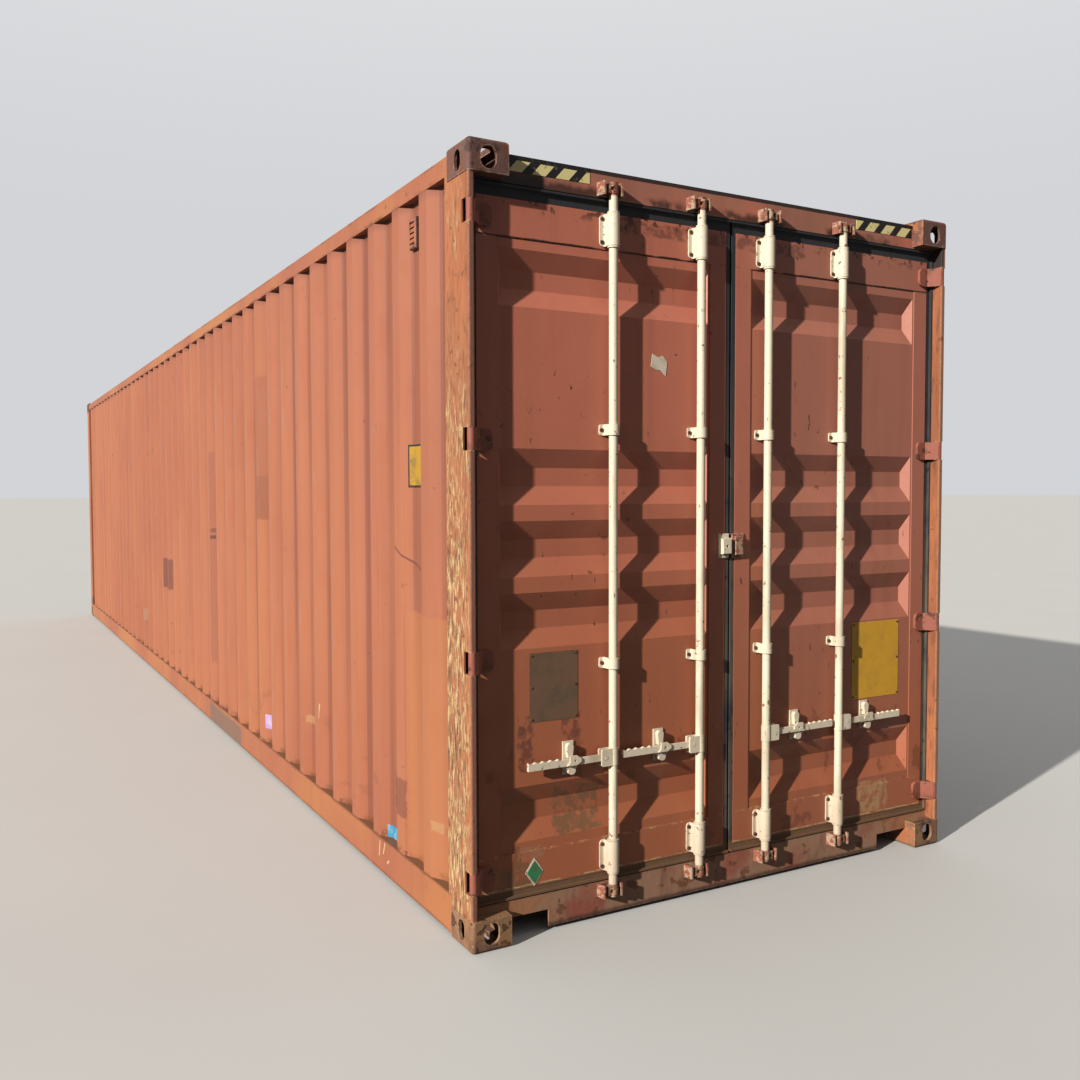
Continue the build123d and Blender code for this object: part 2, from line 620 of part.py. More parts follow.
def leaf_frame():
    """Welded tube frame of a leaf, the tubes open at their hidden ends."""
    frame = block(LEAF_BACK, LEAF_FACE, LEAF_INNER, LEAF_OUTER, LEAF_BOTTOM, LEAF_TOP)
    frame -= block(LEAF_BACK, LEAF_FACE, PANEL_INNER, PANEL_OUTER, PANEL_BOTTOM, PANEL_TOP)
    back = LEAF_BACK + LEAF_WALL
    face = LEAF_FACE - LEAF_WALL
    for y0 in (LEAF_INNER, PANEL_OUTER):
        frame -= block(back, face, y0 + LEAF_WALL, y0 + STILE_WIDTH - LEAF_WALL, LEAF_BOTTOM, LEAF_TOP)
    frame -= block(back, face, PANEL_INNER, PANEL_OUTER, PANEL_TOP + LEAF_WALL, LEAF_TOP)
    return frame - block(back, face, PANEL_INNER, PANEL_OUTER, LEAF_BOTTOM, PANEL_BOTTOM - LEAF_WALL)


def pressing(level):
    """Solid of one pressed recess in the leaf's panel, with sloping ends."""
    middle = (PANEL_INNER + PANEL_OUTER) / 2
    width = PANEL_OUTER - PANEL_INNER - 2 * PRESSING_STILE_GAP
    mouth = Plane.YZ.offset(PANEL_FACE) * Pos(middle, level) * Rectangle(width, PRESSING_HEIGHT)
    bed = Plane.YZ.offset(PANEL_FACE - PRESSING_DEPTH) * Pos(middle, level) * Rectangle(
        width - 2 * PRESSING_END_SLOPE, PRESSING_HEIGHT - 2 * PRESSING_SLOPE)
    return loft([mouth.face(), bed.face()])


def leaf_panel():
    """Pressed steel panel with five recesses: three close together and one at each end."""
    far = (PANEL_TOP - PANEL_BOTTOM) / 2 - PRESSING_FRAME_GAP - PRESSING_HEIGHT / 2
    pressings = [pressing(LEAF_MIDDLE + rise) for rise in (-far, -PRESSING_PITCH, 0, PRESSING_PITCH, far)]
    sheet = block(PANEL_FACE - SHEET, PANEL_FACE, PANEL_INNER, PANEL_OUTER, PANEL_BOTTOM, PANEL_TOP)
    return sheet + [Pos(-SHEET, 0, 0) * p for p in pressings] - pressings


def leaf_gasket():
    """Rubber seal round a leaf, with a raised rim along its foot, top and hinge side."""
    back = LEAF_BACK - GASKET_LIP
    face = LEAF_FACE - GASKET_LIP
    rim = LEAF_FACE + GASKET_RIM_RISE
    ring = block(back, rim, GASKET_INNER, GASKET_OUTER, GASKET_BOTTOM, GASKET_TOP)
    ring -= block(face, rim, GASKET_INNER, GASKET_OUTER - GASKET_RIM_WIDTH,
                  GASKET_BOTTOM + GASKET_RIM_WIDTH, GASKET_TOP - GASKET_RIM_WIDTH)
    return ring - block(back, face, LEAF_INNER, LEAF_OUTER, LEAF_BOTTOM, LEAF_TOP)


def hinge(level):
    """Hinge blade from the knuckle on the pin to its seat on the leaf's stile."""
    seat = LEAF_FACE
    top = seat + BLADE_THICKNESS
    outline = [(PIN_X + BLADE_LEAD, PIN_Y), (PIN_X + BLADE_LEAD, PIN_Y - BLADE_LEAD),
               (top, PIN_Y - BLADE_REACH / 2), (top, PIN_Y - BLADE_REACH), (seat, PIN_Y - BLADE_REACH),
               (seat, LEAF_OUTER - BLADE_EDGE_GAP), (PIN_X - BLADE_LEAD, PIN_Y)]
    low = level - HINGE_HEIGHT / 2
    high = level + HINGE_HEIGHT / 2
    blade = upright(outline, low, high)
    blade &= tile(2 * BLADE_REACH, HINGE_HEIGHT, BLADE_ROUND, PIN_Y, level, seat, END)
    blade += post_of(KNUCKLE_RADIUS, PIN_X, PIN_Y, low, high)
    return blade - post_of(PIN_RADIUS + PIN_PLAY, PIN_X, PIN_Y, low, high)


def rod_strap(y, seat, level, height, rounding):
    """Folded strap with rounded corners that holds a rod against the leaf."""
    bore = ROD_RADIUS + ROD_PLAY
    outer = bore + STRAP_PLATE
    depth = ROD_X - seat
    folded = Pos(seat + STRAP_PLATE / 2, y) * Rectangle(STRAP_PLATE, STRAP_WIDTH)
    folded += Pos(ROD_X, y) * Circle(outer) + Pos(seat + depth / 2, y) * Rectangle(depth, 2 * outer)
    bends = [v for v in folded.vertices()
             if abs(v.X - seat - STRAP_PLATE) < NEAR and abs(abs(v.Y - y) - outer) < NEAR]
    section = fillet(bends, STRAP_BEND)
    section -= Pos(ROD_X, y) * Circle(bore) + Pos(seat + depth / 2, y) * Rectangle(depth, 2 * bore)
    strap = extrude(Pos(0, 0, level - height / 2) * section, height, dir=(0, 0, 1))
    return strap & tile(STRAP_WIDTH, height, rounding, y, level, seat, ROD_X + outer)


def rod_straps():
    """Tall straps on the leaf's rails and short guides on its panel, for both rods."""
    straps = []
    for y in (ROD_INNER, ROD_OUTER):
        for level in (LEAF_BOTTOM + LEAF_RAIL_HEIGHT / 2, LEAF_TOP - LEAF_RAIL_HEIGHT / 2):
            straps.append(rod_strap(y, LEAF_FACE, level, STRAP_HEIGHT, STRAP_ROUND))
        for rise in (-GUIDE_OFFSET, GUIDE_OFFSET):
            straps.append(rod_strap(y, PANEL_FACE, LEAF_MIDDLE + rise, GUIDE_HEIGHT, GUIDE_ROUND))
    return straps


def handle_rest(y):
    """Rest below a folded handle, with the pear-shaped boss of its catch behind the handle."""
    middle = y + REST_OFFSET
    y0 = middle - REST_WIDTH / 2
    y1 = middle + REST_WIDTH / 2
    face = PANEL_FACE + REST_PLATE
    behind = ROD_X - HANDLE_THICKNESS / 2 - REST_CLEAR
    shelf = HANDLE_LEVEL - HANDLE_HEIGHT / 2 - REST_CLEAR
    boss = HANDLE_LEVEL + REST_BOSS_RISE
    neck = HANDLE_LEVEL + REST_NECK_RISE
    rest = block(PANEL_FACE, face, y0, y1, shelf - REST_BELOW, HANDLE_LEVEL + REST_ABOVE)
    rest += block(face, ROD_X, y0, y1, shelf - REST_SHELF, shelf)
    rest += peg(REST_DISC_RADIUS, face, ROD_X, middle, shelf - REST_DISC_RADIUS)
    rest += peg(REST_BOSS_RADIUS, face, behind, middle, boss)
    taper = [(middle - REST_NECK_WIDTH / 2, neck), (middle + REST_NECK_WIDTH / 2, neck),
             (middle + REST_BOSS_RADIUS, boss), (middle - REST_BOSS_RADIUS, boss)]
    return rest + lengthwise(taper, face, behind)


def raised(x0, x1, y0, y1, height):
    """Block at the lock's level with the edges of its front face cut back."""
    pad = block(x0, x1, y0, y1, LOCK_LEVEL - height / 2, LOCK_LEVEL + height / 2)
    return chamfer(pad.faces().sort_by(Axis.X)[-1].edges(), LOCK_CHAMFER)


def lock_block():
    """Seal block on its plate on the left leaf's inner stile, drawn on the right."""
    face = LEAF_FACE + LOCK_BLOCK_DEPTH
    piece = raised(LEAF_FACE, LEAF_FACE + LOCK_PLATE, LOCK_BLOCK_INNER, LOCK_PLATE_OUTER, LOCK_HEIGHT)
    piece += raised(LEAF_FACE, face, LOCK_BLOCK_INNER, LOCK_BLOCK_OUTER, LOCK_BLOCK_HEIGHT)
    middle = (LOCK_BLOCK_INNER + LOCK_BLOCK_OUTER) / 2
    return piece - peg(LOCK_HOLE_RADIUS, face - LOCK_HOLE_DEPTH, face, middle, LOCK_LEVEL)


def lock_bracket():
    """Bracket on the right leaf's inner stile beside the seal block, with a raised pad."""
    piece = raised(LEAF_FACE, LEAF_FACE + LOCK_PLATE, LOCK_BRACKET_INNER, LOCK_BRACKET_OUTER, LOCK_HEIGHT)
    return piece + raised(LEAF_FACE, LEAF_FACE + LOCK_PAD_DEPTH, LOCK_PAD_INNER, LOCK_PAD_OUTER,
                          LOCK_PAD_HEIGHT)


def cam(y, level):
    """Forged cam at a rod end: a hub with one arm towards the hinge side."""
    low = level - CAM_HEIGHT / 2
    high = level + CAM_HEIGHT / 2
    arm = block(ROD_X - CAM_ARM_WIDTH / 2, ROD_X + CAM_ARM_WIDTH / 2, y, y + CAM_ARM_LENGTH, low, high)
    arm &= post_of(CAM_REACH, ROD_X, y, low, high)
    return arm + post_of(CAM_HUB_RADIUS, ROD_X, y, low, high)


def cam_eye(y, level):
    """Round eye sunk in a cam's front."""
    front = ROD_X + CAM_HUB_RADIUS
    return peg(CAM_EYE_RADIUS, front - CAM_EYE_DEPTH, front, y + CAM_EYE_OFFSET, level)


def clevis(y):
    """Square fork on the rod for the handle, with its cross pin."""
    low = HANDLE_LEVEL - CLEVIS_HEIGHT / 2
    high = HANDLE_LEVEL + CLEVIS_HEIGHT / 2
    inner = HANDLE_THICKNESS / 2 + HANDLE_PLAY
    outer = inner + CLEVIS_CHEEK
    fork = post_of(HUB_RADIUS, ROD_X, y, low, high)
    for x in (ROD_X - outer, ROD_X + inner):
        fork += tile(CLEVIS_REACH, CLEVIS_HEIGHT, CLEVIS_ROUND, y + CLEVIS_REACH / 2, HANDLE_LEVEL,
                     x, x + CLEVIS_CHEEK)
    return fork + peg(HANDLE_PIN_RADIUS, ROD_X - outer, ROD_X + outer + HANDLE_PLAY, y + HANDLE_PIVOT,
                      HANDLE_LEVEL)


def lock_rod(y):
    """Lock rod with its collars, end cams and handle fork."""
    rod = post_of(ROD_RADIUS, ROD_X, y, LOW_KEEPER - KEEPER_HEIGHT / 2, HIGH_KEEPER + KEEPER_HEIGHT / 2)
    for level in (LEAF_BOTTOM + LEAF_RAIL_HEIGHT / 2, LEAF_TOP - LEAF_RAIL_HEIGHT / 2):
        above = level + STRAP_HEIGHT / 2 + ROD_PLAY
        below = level - STRAP_HEIGHT / 2 - ROD_PLAY
        rod += post_of(COLLAR_RADIUS, ROD_X, y, above, above + COLLAR_HEIGHT)
        rod += post_of(COLLAR_RADIUS, ROD_X, y, below - COLLAR_HEIGHT, below)
    for level in (LOW_KEEPER, HIGH_KEEPER):
        rod = rod + cam(y, level) - cam_eye(y, level)
    return rod + clevis(y)


def hasp_lug(y):
    """Winged lug on the handle's front, over the rest, with its seal hole."""
    middle = y + REST_OFFSET
    face = ROD_X + HANDLE_THICKNESS / 2
    low = HANDLE_LEVEL - LUG_BOTTOM
    high = HANDLE_LEVEL + LUG_TOP
    outline = [(middle - LUG_WING, HANDLE_LEVEL), (middle - LUG_WING, HANDLE_LEVEL + LUG_WING_HEIGHT),
               (middle - LUG_HALF_WIDTH, high), (middle + LUG_HALF_WIDTH, high),
               (middle + LUG_HALF_WIDTH, HANDLE_LEVEL), (middle + LUG_FOOT, low),
               (middle - LUG_HALF_WIDTH, low)]
    lug = lengthwise(outline, face, face + LUG_THICKNESS)
    return lug - peg(LUG_HOLE_RADIUS, face, face + LUG_THICKNESS, middle - LUG_HALF_WIDTH / 2,
                     HANDLE_LEVEL + LUG_WING_HEIGHT / 2)


def lock_handle(y):
    """Flat handle with an eye on the fork's pin, a hasp lug and a waved finger grip."""
    pivot = y + HANDLE_PIVOT
    tip = pivot + HANDLE_LENGTH
    low = HANDLE_LEVEL - HANDLE_HEIGHT / 2
    x0 = ROD_X - HANDLE_THICKNESS / 2
    x1 = ROD_X + HANDLE_THICKNESS / 2
    bar = block(x0, x1, pivot, tip, low, low + HANDLE_HEIGHT)
    grip = block(x0, x1, tip - GRIP_LENGTH, tip, low, low + GRIP_HEIGHT)
    step = GRIP_LENGTH / GRIP_WAVES
    wave_level = low + GRIP_HEIGHT + GRIP_WAVE_RADIUS - GRIP_WAVE_DEPTH
    for i in range(GRIP_WAVES):
        grip -= peg(GRIP_WAVE_RADIUS, x0, x1, tip - step * (i + 0.5), wave_level)
    handle = bar + grip + hasp_lug(y) + peg(HANDLE_EYE, x0, x1, pivot, HANDLE_LEVEL)
    return handle - peg(HANDLE_PIN_RADIUS + PIN_PLAY, x0, x1, pivot, HANDLE_LEVEL)


def save(node, shapes):
    """Write a node's solids to its STEP file."""
    shapes = shapes if isinstance(shapes, list) else [shapes]
    solids = [solid for shape in shapes for solid in shape.solids()]
    export_step(Compound(solids), f"parts/{node}.step")


def build_frame():
    """The fixed structure."""
    top, bottom = castings()
    save("corner_castings_top", top)
    save("corner_castings_bottom", bottom)
    paired = {"door_post": door_post(), "front_post": front_post(), "top_side_rail": top_side_rail(),
              "bottom_side_rail": bottom_side_rail(), "side_wall": side_wall()}
    for name, piece in paired.items():
        save(f"{name}_left", handed(piece, -1))
        save(f"{name}_right", piece)
    vent = side_vent()
    save("side_vents", [vent, handed(vent, -1)])
    single = {"door_header": door_header(), "door_sill": door_sill(), "front_top_rail": front_top_rail(),
              "front_bottom_rail": front_bottom_rail(), "front_wall": front_wall(),
              "roof_panel": roof_panel(), "floor_boards": floor_boards(), "cross_members": cross_members(),
              "gooseneck_tunnel": gooseneck_tunnel(), "cam_keepers": cam_keepers()}
    for name, piece in single.items():
        save(name, piece)


def build_doors():
    """Both leaves with their lock rods and handles."""
    leaf = {"frame": [leaf_frame()], "panel": [leaf_panel()], "gasket": [leaf_gasket()],
            "hinges": [hinge(level) for level in hinge_levels()], "rod_straps": rod_straps(),
            "handle_rests": [handle_rest(y) for y in (ROD_INNER, ROD_OUTER)]}
    for side, hand in ((-1, "left"), (1, "right")):
        for name, pieces in leaf.items():
            save(f"{hand}_door_{name}", [handed(piece, side) for piece in pieces])
        for place, y in (("inner", ROD_INNER), ("outer", ROD_OUTER)):
            save(f"{hand}_{place}_rod", handed(lock_rod(y), side))
            save(f"{hand}_{place}_handle", handed(lock_handle(y), side))
    save("left_door_lock_block", handed(lock_block(), -1))
    save("right_door_lock_bracket", lock_bracket())


os.makedirs("parts", exist_ok=True)
build_frame()
build_doors()
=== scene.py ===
"""Weathered looks for a steel shipping container around its CAD frame, in metres."""
import json
import math
import bmesh
import bpy
from mathutils import Matrix, Vector


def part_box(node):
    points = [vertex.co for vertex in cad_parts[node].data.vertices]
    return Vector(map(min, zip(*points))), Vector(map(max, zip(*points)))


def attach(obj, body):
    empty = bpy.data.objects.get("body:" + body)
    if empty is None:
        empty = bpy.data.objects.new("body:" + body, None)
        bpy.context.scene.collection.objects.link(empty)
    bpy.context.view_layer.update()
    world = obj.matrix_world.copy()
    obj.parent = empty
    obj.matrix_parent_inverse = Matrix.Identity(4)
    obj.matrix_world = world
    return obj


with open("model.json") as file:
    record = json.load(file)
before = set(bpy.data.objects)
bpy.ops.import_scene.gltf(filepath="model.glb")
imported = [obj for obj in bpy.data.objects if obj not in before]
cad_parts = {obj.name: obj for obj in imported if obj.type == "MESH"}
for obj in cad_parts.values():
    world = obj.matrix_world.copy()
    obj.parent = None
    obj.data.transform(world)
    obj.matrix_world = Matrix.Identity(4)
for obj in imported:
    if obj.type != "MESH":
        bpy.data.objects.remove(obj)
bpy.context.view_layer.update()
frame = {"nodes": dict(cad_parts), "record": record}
scene = bpy.context.scene

# Camera at the photograph's angle, in degrees, metres and millimetres of lens
CAMERA_PLACE = Vector((9.3889, -2.7813, 1.6539))
CAMERA_AZIMUTH = 60.735
CAMERA_ELEVATION = 2.553
CAMERA_ROLL = -0.146
CAMERA_LENS = 34.53

# Light: a low sun on the left and a sky that brightens overhead
SUN_HEADING = Vector((-0.293, 0.877, -0.380))
SUN_STRENGTH = 7.4
SUN_ANGLE = 1.1
SUN_TINT = (1.0, 0.96, 0.9)
# The sky's brightness by height, 0 straight down and 0.5 at the horizon, up to white at 1, and its tint
SKY_LEVELS = ((0.47, 0.10), (0.49, 0.66), (0.60, 0.66))
SKY_TINT = (0.98, 0.995, 1.03)
# The sky is dimmer on the doors' side, between these headings along X
SKY_FADE = (-0.3, 0.5)
SKY_DOOR_SIDE = 0.33
# The ground's size and sheen
FLOOR_SIZE = 1200.0
FLOOR_GLOSS = 0.1

# Sizes of the added pieces
HEX_SIDES = 6
ROUND_SIDES = 12
HEAD_TAPER = 0.8
BOLT_RADIUS = 0.0085
BOLT_HEIGHT = 0.006
STRAP_PLATE = 0.006
STRAP_HALF_HEIGHT = 0.0605
STRAP_BOLT_ACROSS = 0.035
STRAP_BOLT_RISE = 0.044
PLATE_THICKNESS = 0.0015
RIVET_RADIUS = 0.005
SIGN_MARGIN = 0.008
# Boards of the inside floor and the screws in them
BOARD_LENGTH = 2.44
BOARD_WIDTH = 1.15
BOARD_GAP = 0.004
SCREW_ROW = 0.305
SCREW_STEP = 0.19
SCREW_RADIUS = 0.008
SCREW_RIM = 0.0016

# Where the photograph has plates and signs: (across, height) corners in metres
DATA_PLATE = ((-0.946, 0.800), (-0.735, 1.060))
YELLOW_PLATE = ((0.710, 0.722), (1.005, 1.070))
WALL_SIGN = ((5.470, 1.681), (5.574, 1.853))
HAZARD_PANELS = (((-1.045, 2.816), (-0.686, 2.873)), ((0.699, 2.816), (1.046, 2.873)))
HAZARD_EDGE = 2.857
# The stripes' lean, their pitch in metres and the dark part of a pitch
STRIPE_LEAN = -0.9
STRIPE_PITCH = 0.099
STRIPE_DARK = (0.55, 0.96)
DIAMOND_MIDDLE = (-0.929, 0.2345)
DIAMOND_HALF_WIDTH = 0.039
DIAMOND_HALF_HEIGHT = 0.0535
DIAMOND_BORDER = 0.80
TORN_LABEL = ((-0.397, 2.152), (-0.372, 2.141), (-0.352, 2.140), (-0.326, 2.118), (-0.318, 2.172),
              (-0.340, 2.198), (-0.362, 2.190), (-0.390, 2.203))
NEAR_LABEL = ((5.193, 0.170), (5.277, 0.222))
FAR_LABEL = ((3.183, 0.248), (3.267, 0.332))

# Levels and faces read from the frame
LEAF_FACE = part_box("left_door_frame")[1][0]
LEAF_FOOT, LEAF_TOP = (corner[2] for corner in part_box("left_door_frame"))
PANEL_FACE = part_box("left_door_panel")[1][0]
SEAM_LOW, SEAM_HIGH = (corner[2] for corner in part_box("left_door_panel"))
GASKET_LOW, GASKET_HIGH = (corner[2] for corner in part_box("left_door_gasket"))
HEADER_FACE, HEADER_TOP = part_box("door_header")[1].xz
SILL_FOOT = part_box("door_sill")[0][2]
RAIL_LOW, RAIL_TOP = (corner[2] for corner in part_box("bottom_side_rail_left"))
TOP_RAIL_LOW, TOP_RAIL_HIGH = (corner[2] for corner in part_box("top_side_rail_left"))
WALL_CREST, WALL_HOLLOW = (-corner[1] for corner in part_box("side_wall_left"))
POST_BACK, POST_NOSE = (corner[0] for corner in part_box("door_post_left"))
POST_SIDE = -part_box("door_post_left")[0][1]
HINGE_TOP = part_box("right_door_hinges")[1][2]
VENT_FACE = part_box("side_vents")[1][1]

# Gloss of weathered paint, the noise seeds' step and the smallest distance that counts
GLOSS = 0.3
SEED_STEP = 7.31
NEAR = 0.001
# Cosines of the turn between which an edge goes from whole to worn
EDGE_TURN = (0.995, 0.94)
# The container's two sides along Y, and how far from the middle a mark of one side has faded in
LEFT, RIGHT = -1, 1
SIDE_FADE = 0.5
HANDS = ("left", "right")


def srgb(red, green, blue):
    """A screen colour, 0 to 255, as linear RGBA."""
    parts = [c / 255 for c in (red, green, blue)]
    return tuple(c / 12.92 if c <= 0.04045 else ((c + 0.055) / 1.055) ** 2.4 for c in parts) + (1.0,)


def upright(share):
    """Stretch that draws a noise out along its height; the smaller the share, the longer."""
    return (1.0, 1.0, share)


EVEN = upright(1.0)
RUNS = upright(0.06)
STREAKS = upright(0.015)
FIBRES = upright(0.16)

SALMON = srgb(137, 80, 56)
PEACH = srgb(144, 87, 60)
OCHRE = srgb(147, 93, 56)
BRICK = srgb(122, 71, 53)
POST_ORANGE = srgb(146, 88, 56)
POST_BROWN = srgb(124, 74, 48)
NOSE_SHADE_MAUVE = srgb(112, 74, 62)
DOOR_RED = srgb(168, 98, 78)
DOOR_BROWN = srgb(142, 81, 55)
DOOR_PINK = srgb(144, 94, 79)
HINGE_RED = srgb(128, 72, 57)
MAROON = srgb(88, 49, 40)
UMBER = srgb(50, 32, 26)
SOOT_AND_SHADE = srgb(26, 23, 23)
RUST = srgb(96, 55, 34)
EARTH = srgb(100, 72, 49)
CREAM = srgb(196, 183, 160)
CREAM_DIRTY = srgb(152, 138, 114)
FLAKE = srgb(176, 150, 108)
WORN = srgb(158, 130, 110)
STRAW = srgb(158, 132, 92)
TAN = srgb(132, 98, 66)
DUST = srgb(134, 104, 82)
OLIVE = srgb(74, 65, 49)
GREY_BROWN = srgb(98, 78, 66)
MAUVE = srgb(88, 62, 55)
RUBBER = srgb(38, 38, 42)
RUBBER_DUST = srgb(84, 75, 64)
PLYWOOD = srgb(140, 100, 66)
PLYWOOD_DARK = srgb(92, 62, 42)
COATING = srgb(46, 43, 42)
SIGN_YELLOW = srgb(184, 138, 40)
SIGN_GOLD = srgb(148, 113, 28)
SIGN_AMBER = srgb(166, 124, 44)
STRIPE_YELLOW = srgb(202, 188, 130)
PLATE_BROWN = srgb(96, 72, 54)
SIGN_GREEN = srgb(36, 112, 70)
LABEL_BLUE = srgb(44, 118, 150)
LABEL_LILAC = srgb(150, 124, 168)
PAPER = srgb(190, 178, 160)
FLOOR_PALE = srgb(176, 175, 172)
FLOOR_CLOUD = srgb(171, 170, 167)

# Repairs and scuffs on the left wall: x from and to, height from and to, colour and strength
WALL_MARKS = (
    (-0.25, 0.08, 0.84, 1.09, MAROON, 0.75),
    (5.26, 5.44, 0.32, 0.47, MAROON, 0.6),
    (5.47, 5.90, 0.10, 1.17, OCHRE, 0.5),
    (3.03, 3.27, 1.51, 2.35, BRICK, 0.5),
    (3.05, 3.25, 1.51, 1.76, RUST, 0.3),
    (1.72, 1.92, 0.45, 1.95, BRICK, 0.6),
    (4.03, 4.15, 0.45, 0.48, STRAW, 0.35),
    (5.72, 5.77, 0.35, 0.38, STRAW, 0.35),
    (-1.56, -1.21, 0.43, 0.53, DUST, 0.5),
    (1.75, 1.90, 1.345, 1.360, UMBER, 0.7),
    (1.75, 1.90, 1.390, 1.408, UMBER, 0.5),
)
# Scratches on the left wall and its rail: from and to, as (x, height), colour
WALL_SCRATCHES = (
    ((5.32, 1.45), (5.55, 1.35), MAROON),
    ((4.29, 0.52), (4.30, 0.59), FLAKE),
    ((4.45, 0.54), (4.46, 0.60), FLAKE),
    ((5.34, 0.58), (5.35, 0.68), UMBER),
)
RAIL_SCRATCHES = (
    ((5.155, 0.08), (5.165, 0.145), FLAKE),
    ((5.205, 0.10), (5.225, 0.150), FLAKE),
    ((5.250, 0.07), (5.270, 0.085), FLAKE),
)
SCRATCH_WIDTH = 0.006
# Where the bottom rail is scraped bare: x from and to
RAIL_SCRAPE = (1.68, 2.58)
# How far out from the middle the castings begin; paint is left on the right ones' inner faces
CASTING_INNER = 1.057
# Where along Y the header's left corner gets its painted shadow
HEADER_SHADOW_CORNER = (-0.86, -0.90)
# How far out from the middle the sill's ends begin to show the older paint
SILL_ENDS = (0.82, 0.95)
# Dirt and scrapes on the doors: y from and to, height from and to, colour and strength
DOOR_MARKS = (
    (-0.83, -0.63, 0.36, 0.53, EARTH, 0.9),
    (-1.13, -0.95, 0.17, 0.27, EARTH, 0.75),
    (-0.99, -0.90, 0.29, 0.33, DUST, 0.6),
    (-0.99, -0.94, 0.62, 0.82, MAROON, 0.8),
    (-0.80, -0.73, 0.72, 0.82, MAROON, 0.7),
    (0.76, 0.93, 0.20, 0.33, STRAW, 0.6),
    (0.30, 0.46, 0.20, 0.25, MAROON, 0.6),
    (-0.60, 0.40, 2.66, 2.70, UMBER, 0.5),
)


class Finish:
    """A procedural material on object coordinates, built with short calls."""

    def __init__(self, name, roughness):
        self.material = bpy.data.materials.new(name)
        self.material.use_nodes = True
        self.tree = self.material.node_tree
        self.shader = self.tree.nodes["Principled BSDF"]
        self.shader.inputs["Roughness"].default_value = roughness
        self.shader.inputs["Specular IOR Level"].default_value = GLOSS
        self.place = self.add("ShaderNodeTexCoord", {}, "Object")
        self.x, self.y, self.z = (self.add("ShaderNodeSeparateXYZ", {"Vector": self.place}, axis)
                                  for axis in "XYZ")
        self.out = self.math("ABSOLUTE", self.y)
        self.normal = None

    def add(self, kind, inputs, output=0, **settings):
        """A new node with its inputs set or linked; gives one of its outputs."""
        node = self.tree.nodes.new(kind)
        for key, value in settings.items():
            setattr(node, key, value)
        for key, value in inputs.items():
            if isinstance(value, bpy.types.NodeSocket):
                self.tree.links.new(value, node.inputs[key])
            else:
                node.inputs[key].default_value = value
        return node.outputs[output]

    def math(self, operation, first, second=0.0):
        """One sum of two values or sockets."""
        return self.add("ShaderNodeMath", {0: first, 1: second}, operation=operation)

    def both(self, *masks):
        """Where all the masks hold."""
        result = masks[0]
        for other in masks[1:]:
            result = self.math("MULTIPLY", result, other)
        return result

    def either(self, *masks):
        """Where any of the masks holds."""
        result = masks[0]
        for other in masks[1:]:
            result = self.math("MAXIMUM", result, other)
        return result

    def noise(self, scale, stretch=EVEN, detail=3.0, seed=0):
        """Cloudy noise, 0 to 1, with features about 1/scale metres wide."""
        place = self.add("ShaderNodeMapping", {"Vector": self.place, "Scale": stretch,
                                               "Location": (seed * SEED_STEP,) * 3})
        return self.add("ShaderNodeTexNoise", {"Vector": place, "Scale": scale, "Detail": detail,
                                               "Roughness": 0.6})

    def mask(self, value, low, high):
        """0 at low, 1 at high, smooth between; high may be the smaller one."""
        return self.add("ShaderNodeMapRange", {"Value": value, "From Min": low, "From Max": high},
                        interpolation_type="SMOOTHSTEP")

    def speck(self, scale, level, seed, stretch=EVEN, soft=0.03):
        """Hard-edged spots where a noise passes a level."""
        return self.mask(self.noise(scale, stretch, 4.0, seed), level, level + soft)

    def band(self, value, low, high, soft=0.01):
        """1 between low and high, fading over a soft edge."""
        return self.both(self.mask(value, low - soft, low), self.mask(value, high + soft, high))

    def ragged(self, value, amount, scale, seed):
        """A coordinate with its level lines made uneven."""
        offset = self.math("MULTIPLY", self.math("SUBTRACT", self.noise(scale, seed=seed), 0.5), amount)
        return self.math("ADD", value, offset)

    def side(self, hand):
        """1 on the left or on the right side of the container."""
        return self.mask(self.y, 0.0, SIDE_FADE * hand)

    def stroke(self, across, start, end, width):
        """1 along a straight scratch between two (across, height) points of a face."""
        run = Vector(end) - Vector(start)
        unit = run.normalized()
        aside = self.math("SUBTRACT", across, start[0])
        up = self.math("SUBTRACT", self.z, start[1])
        along = self.math("ADD", self.math("MULTIPLY", aside, unit.x), self.math("MULTIPLY", up, unit.y))
        off = self.math("SUBTRACT", self.math("MULTIPLY", up, unit.x), self.math("MULTIPLY", aside, unit.y))
        return self.both(self.band(along, 0.0, run.length, width), self.band(off, 0.0, width, width / 2))

    def worn_edges(self, radius, seed):
        """Broken wear along the edges, where a rounded normal turns away from the flat one."""
        rounded = self.add("ShaderNodeBevel", {"Radius": radius})
        flat = self.add("ShaderNodeNewGeometry", {}, "True Normal")
        turn = self.add("ShaderNodeVectorMath", {0: rounded, 1: flat}, "Value", operation="DOT_PRODUCT")
        return self.both(self.mask(turn, *EDGE_TURN), self.speck(45.0, 0.44, seed, soft=0.12))

    def mix(self, first, second, amount, most=1.0):
        """The first colour going over to the second by a mask."""
        if most < 1.0:
            amount = self.math("MULTIPLY", amount, most)
        return self.add("ShaderNodeMix", {0: amount, 6: first, 7: second}, 2, data_type="RGBA")

    def relief(self, height, distance):
        """Small dents or grain on top of the relief so far."""
        inputs = {"Height": height, "Distance": distance}
        if self.normal:
            inputs["Normal"] = self.normal
        self.normal = self.add("ShaderNodeBump", inputs)

    def done(self, colour, roughness=None):
        """Link the colour, relief and roughness; gives the material."""
        self.tree.links.new(colour, self.shader.inputs["Base Color"])
        if roughness:
            self.tree.links.new(roughness, self.shader.inputs["Roughness"])
        if self.normal:
            self.tree.links.new(self.normal, self.shader.inputs["Normal"])
        return self.material


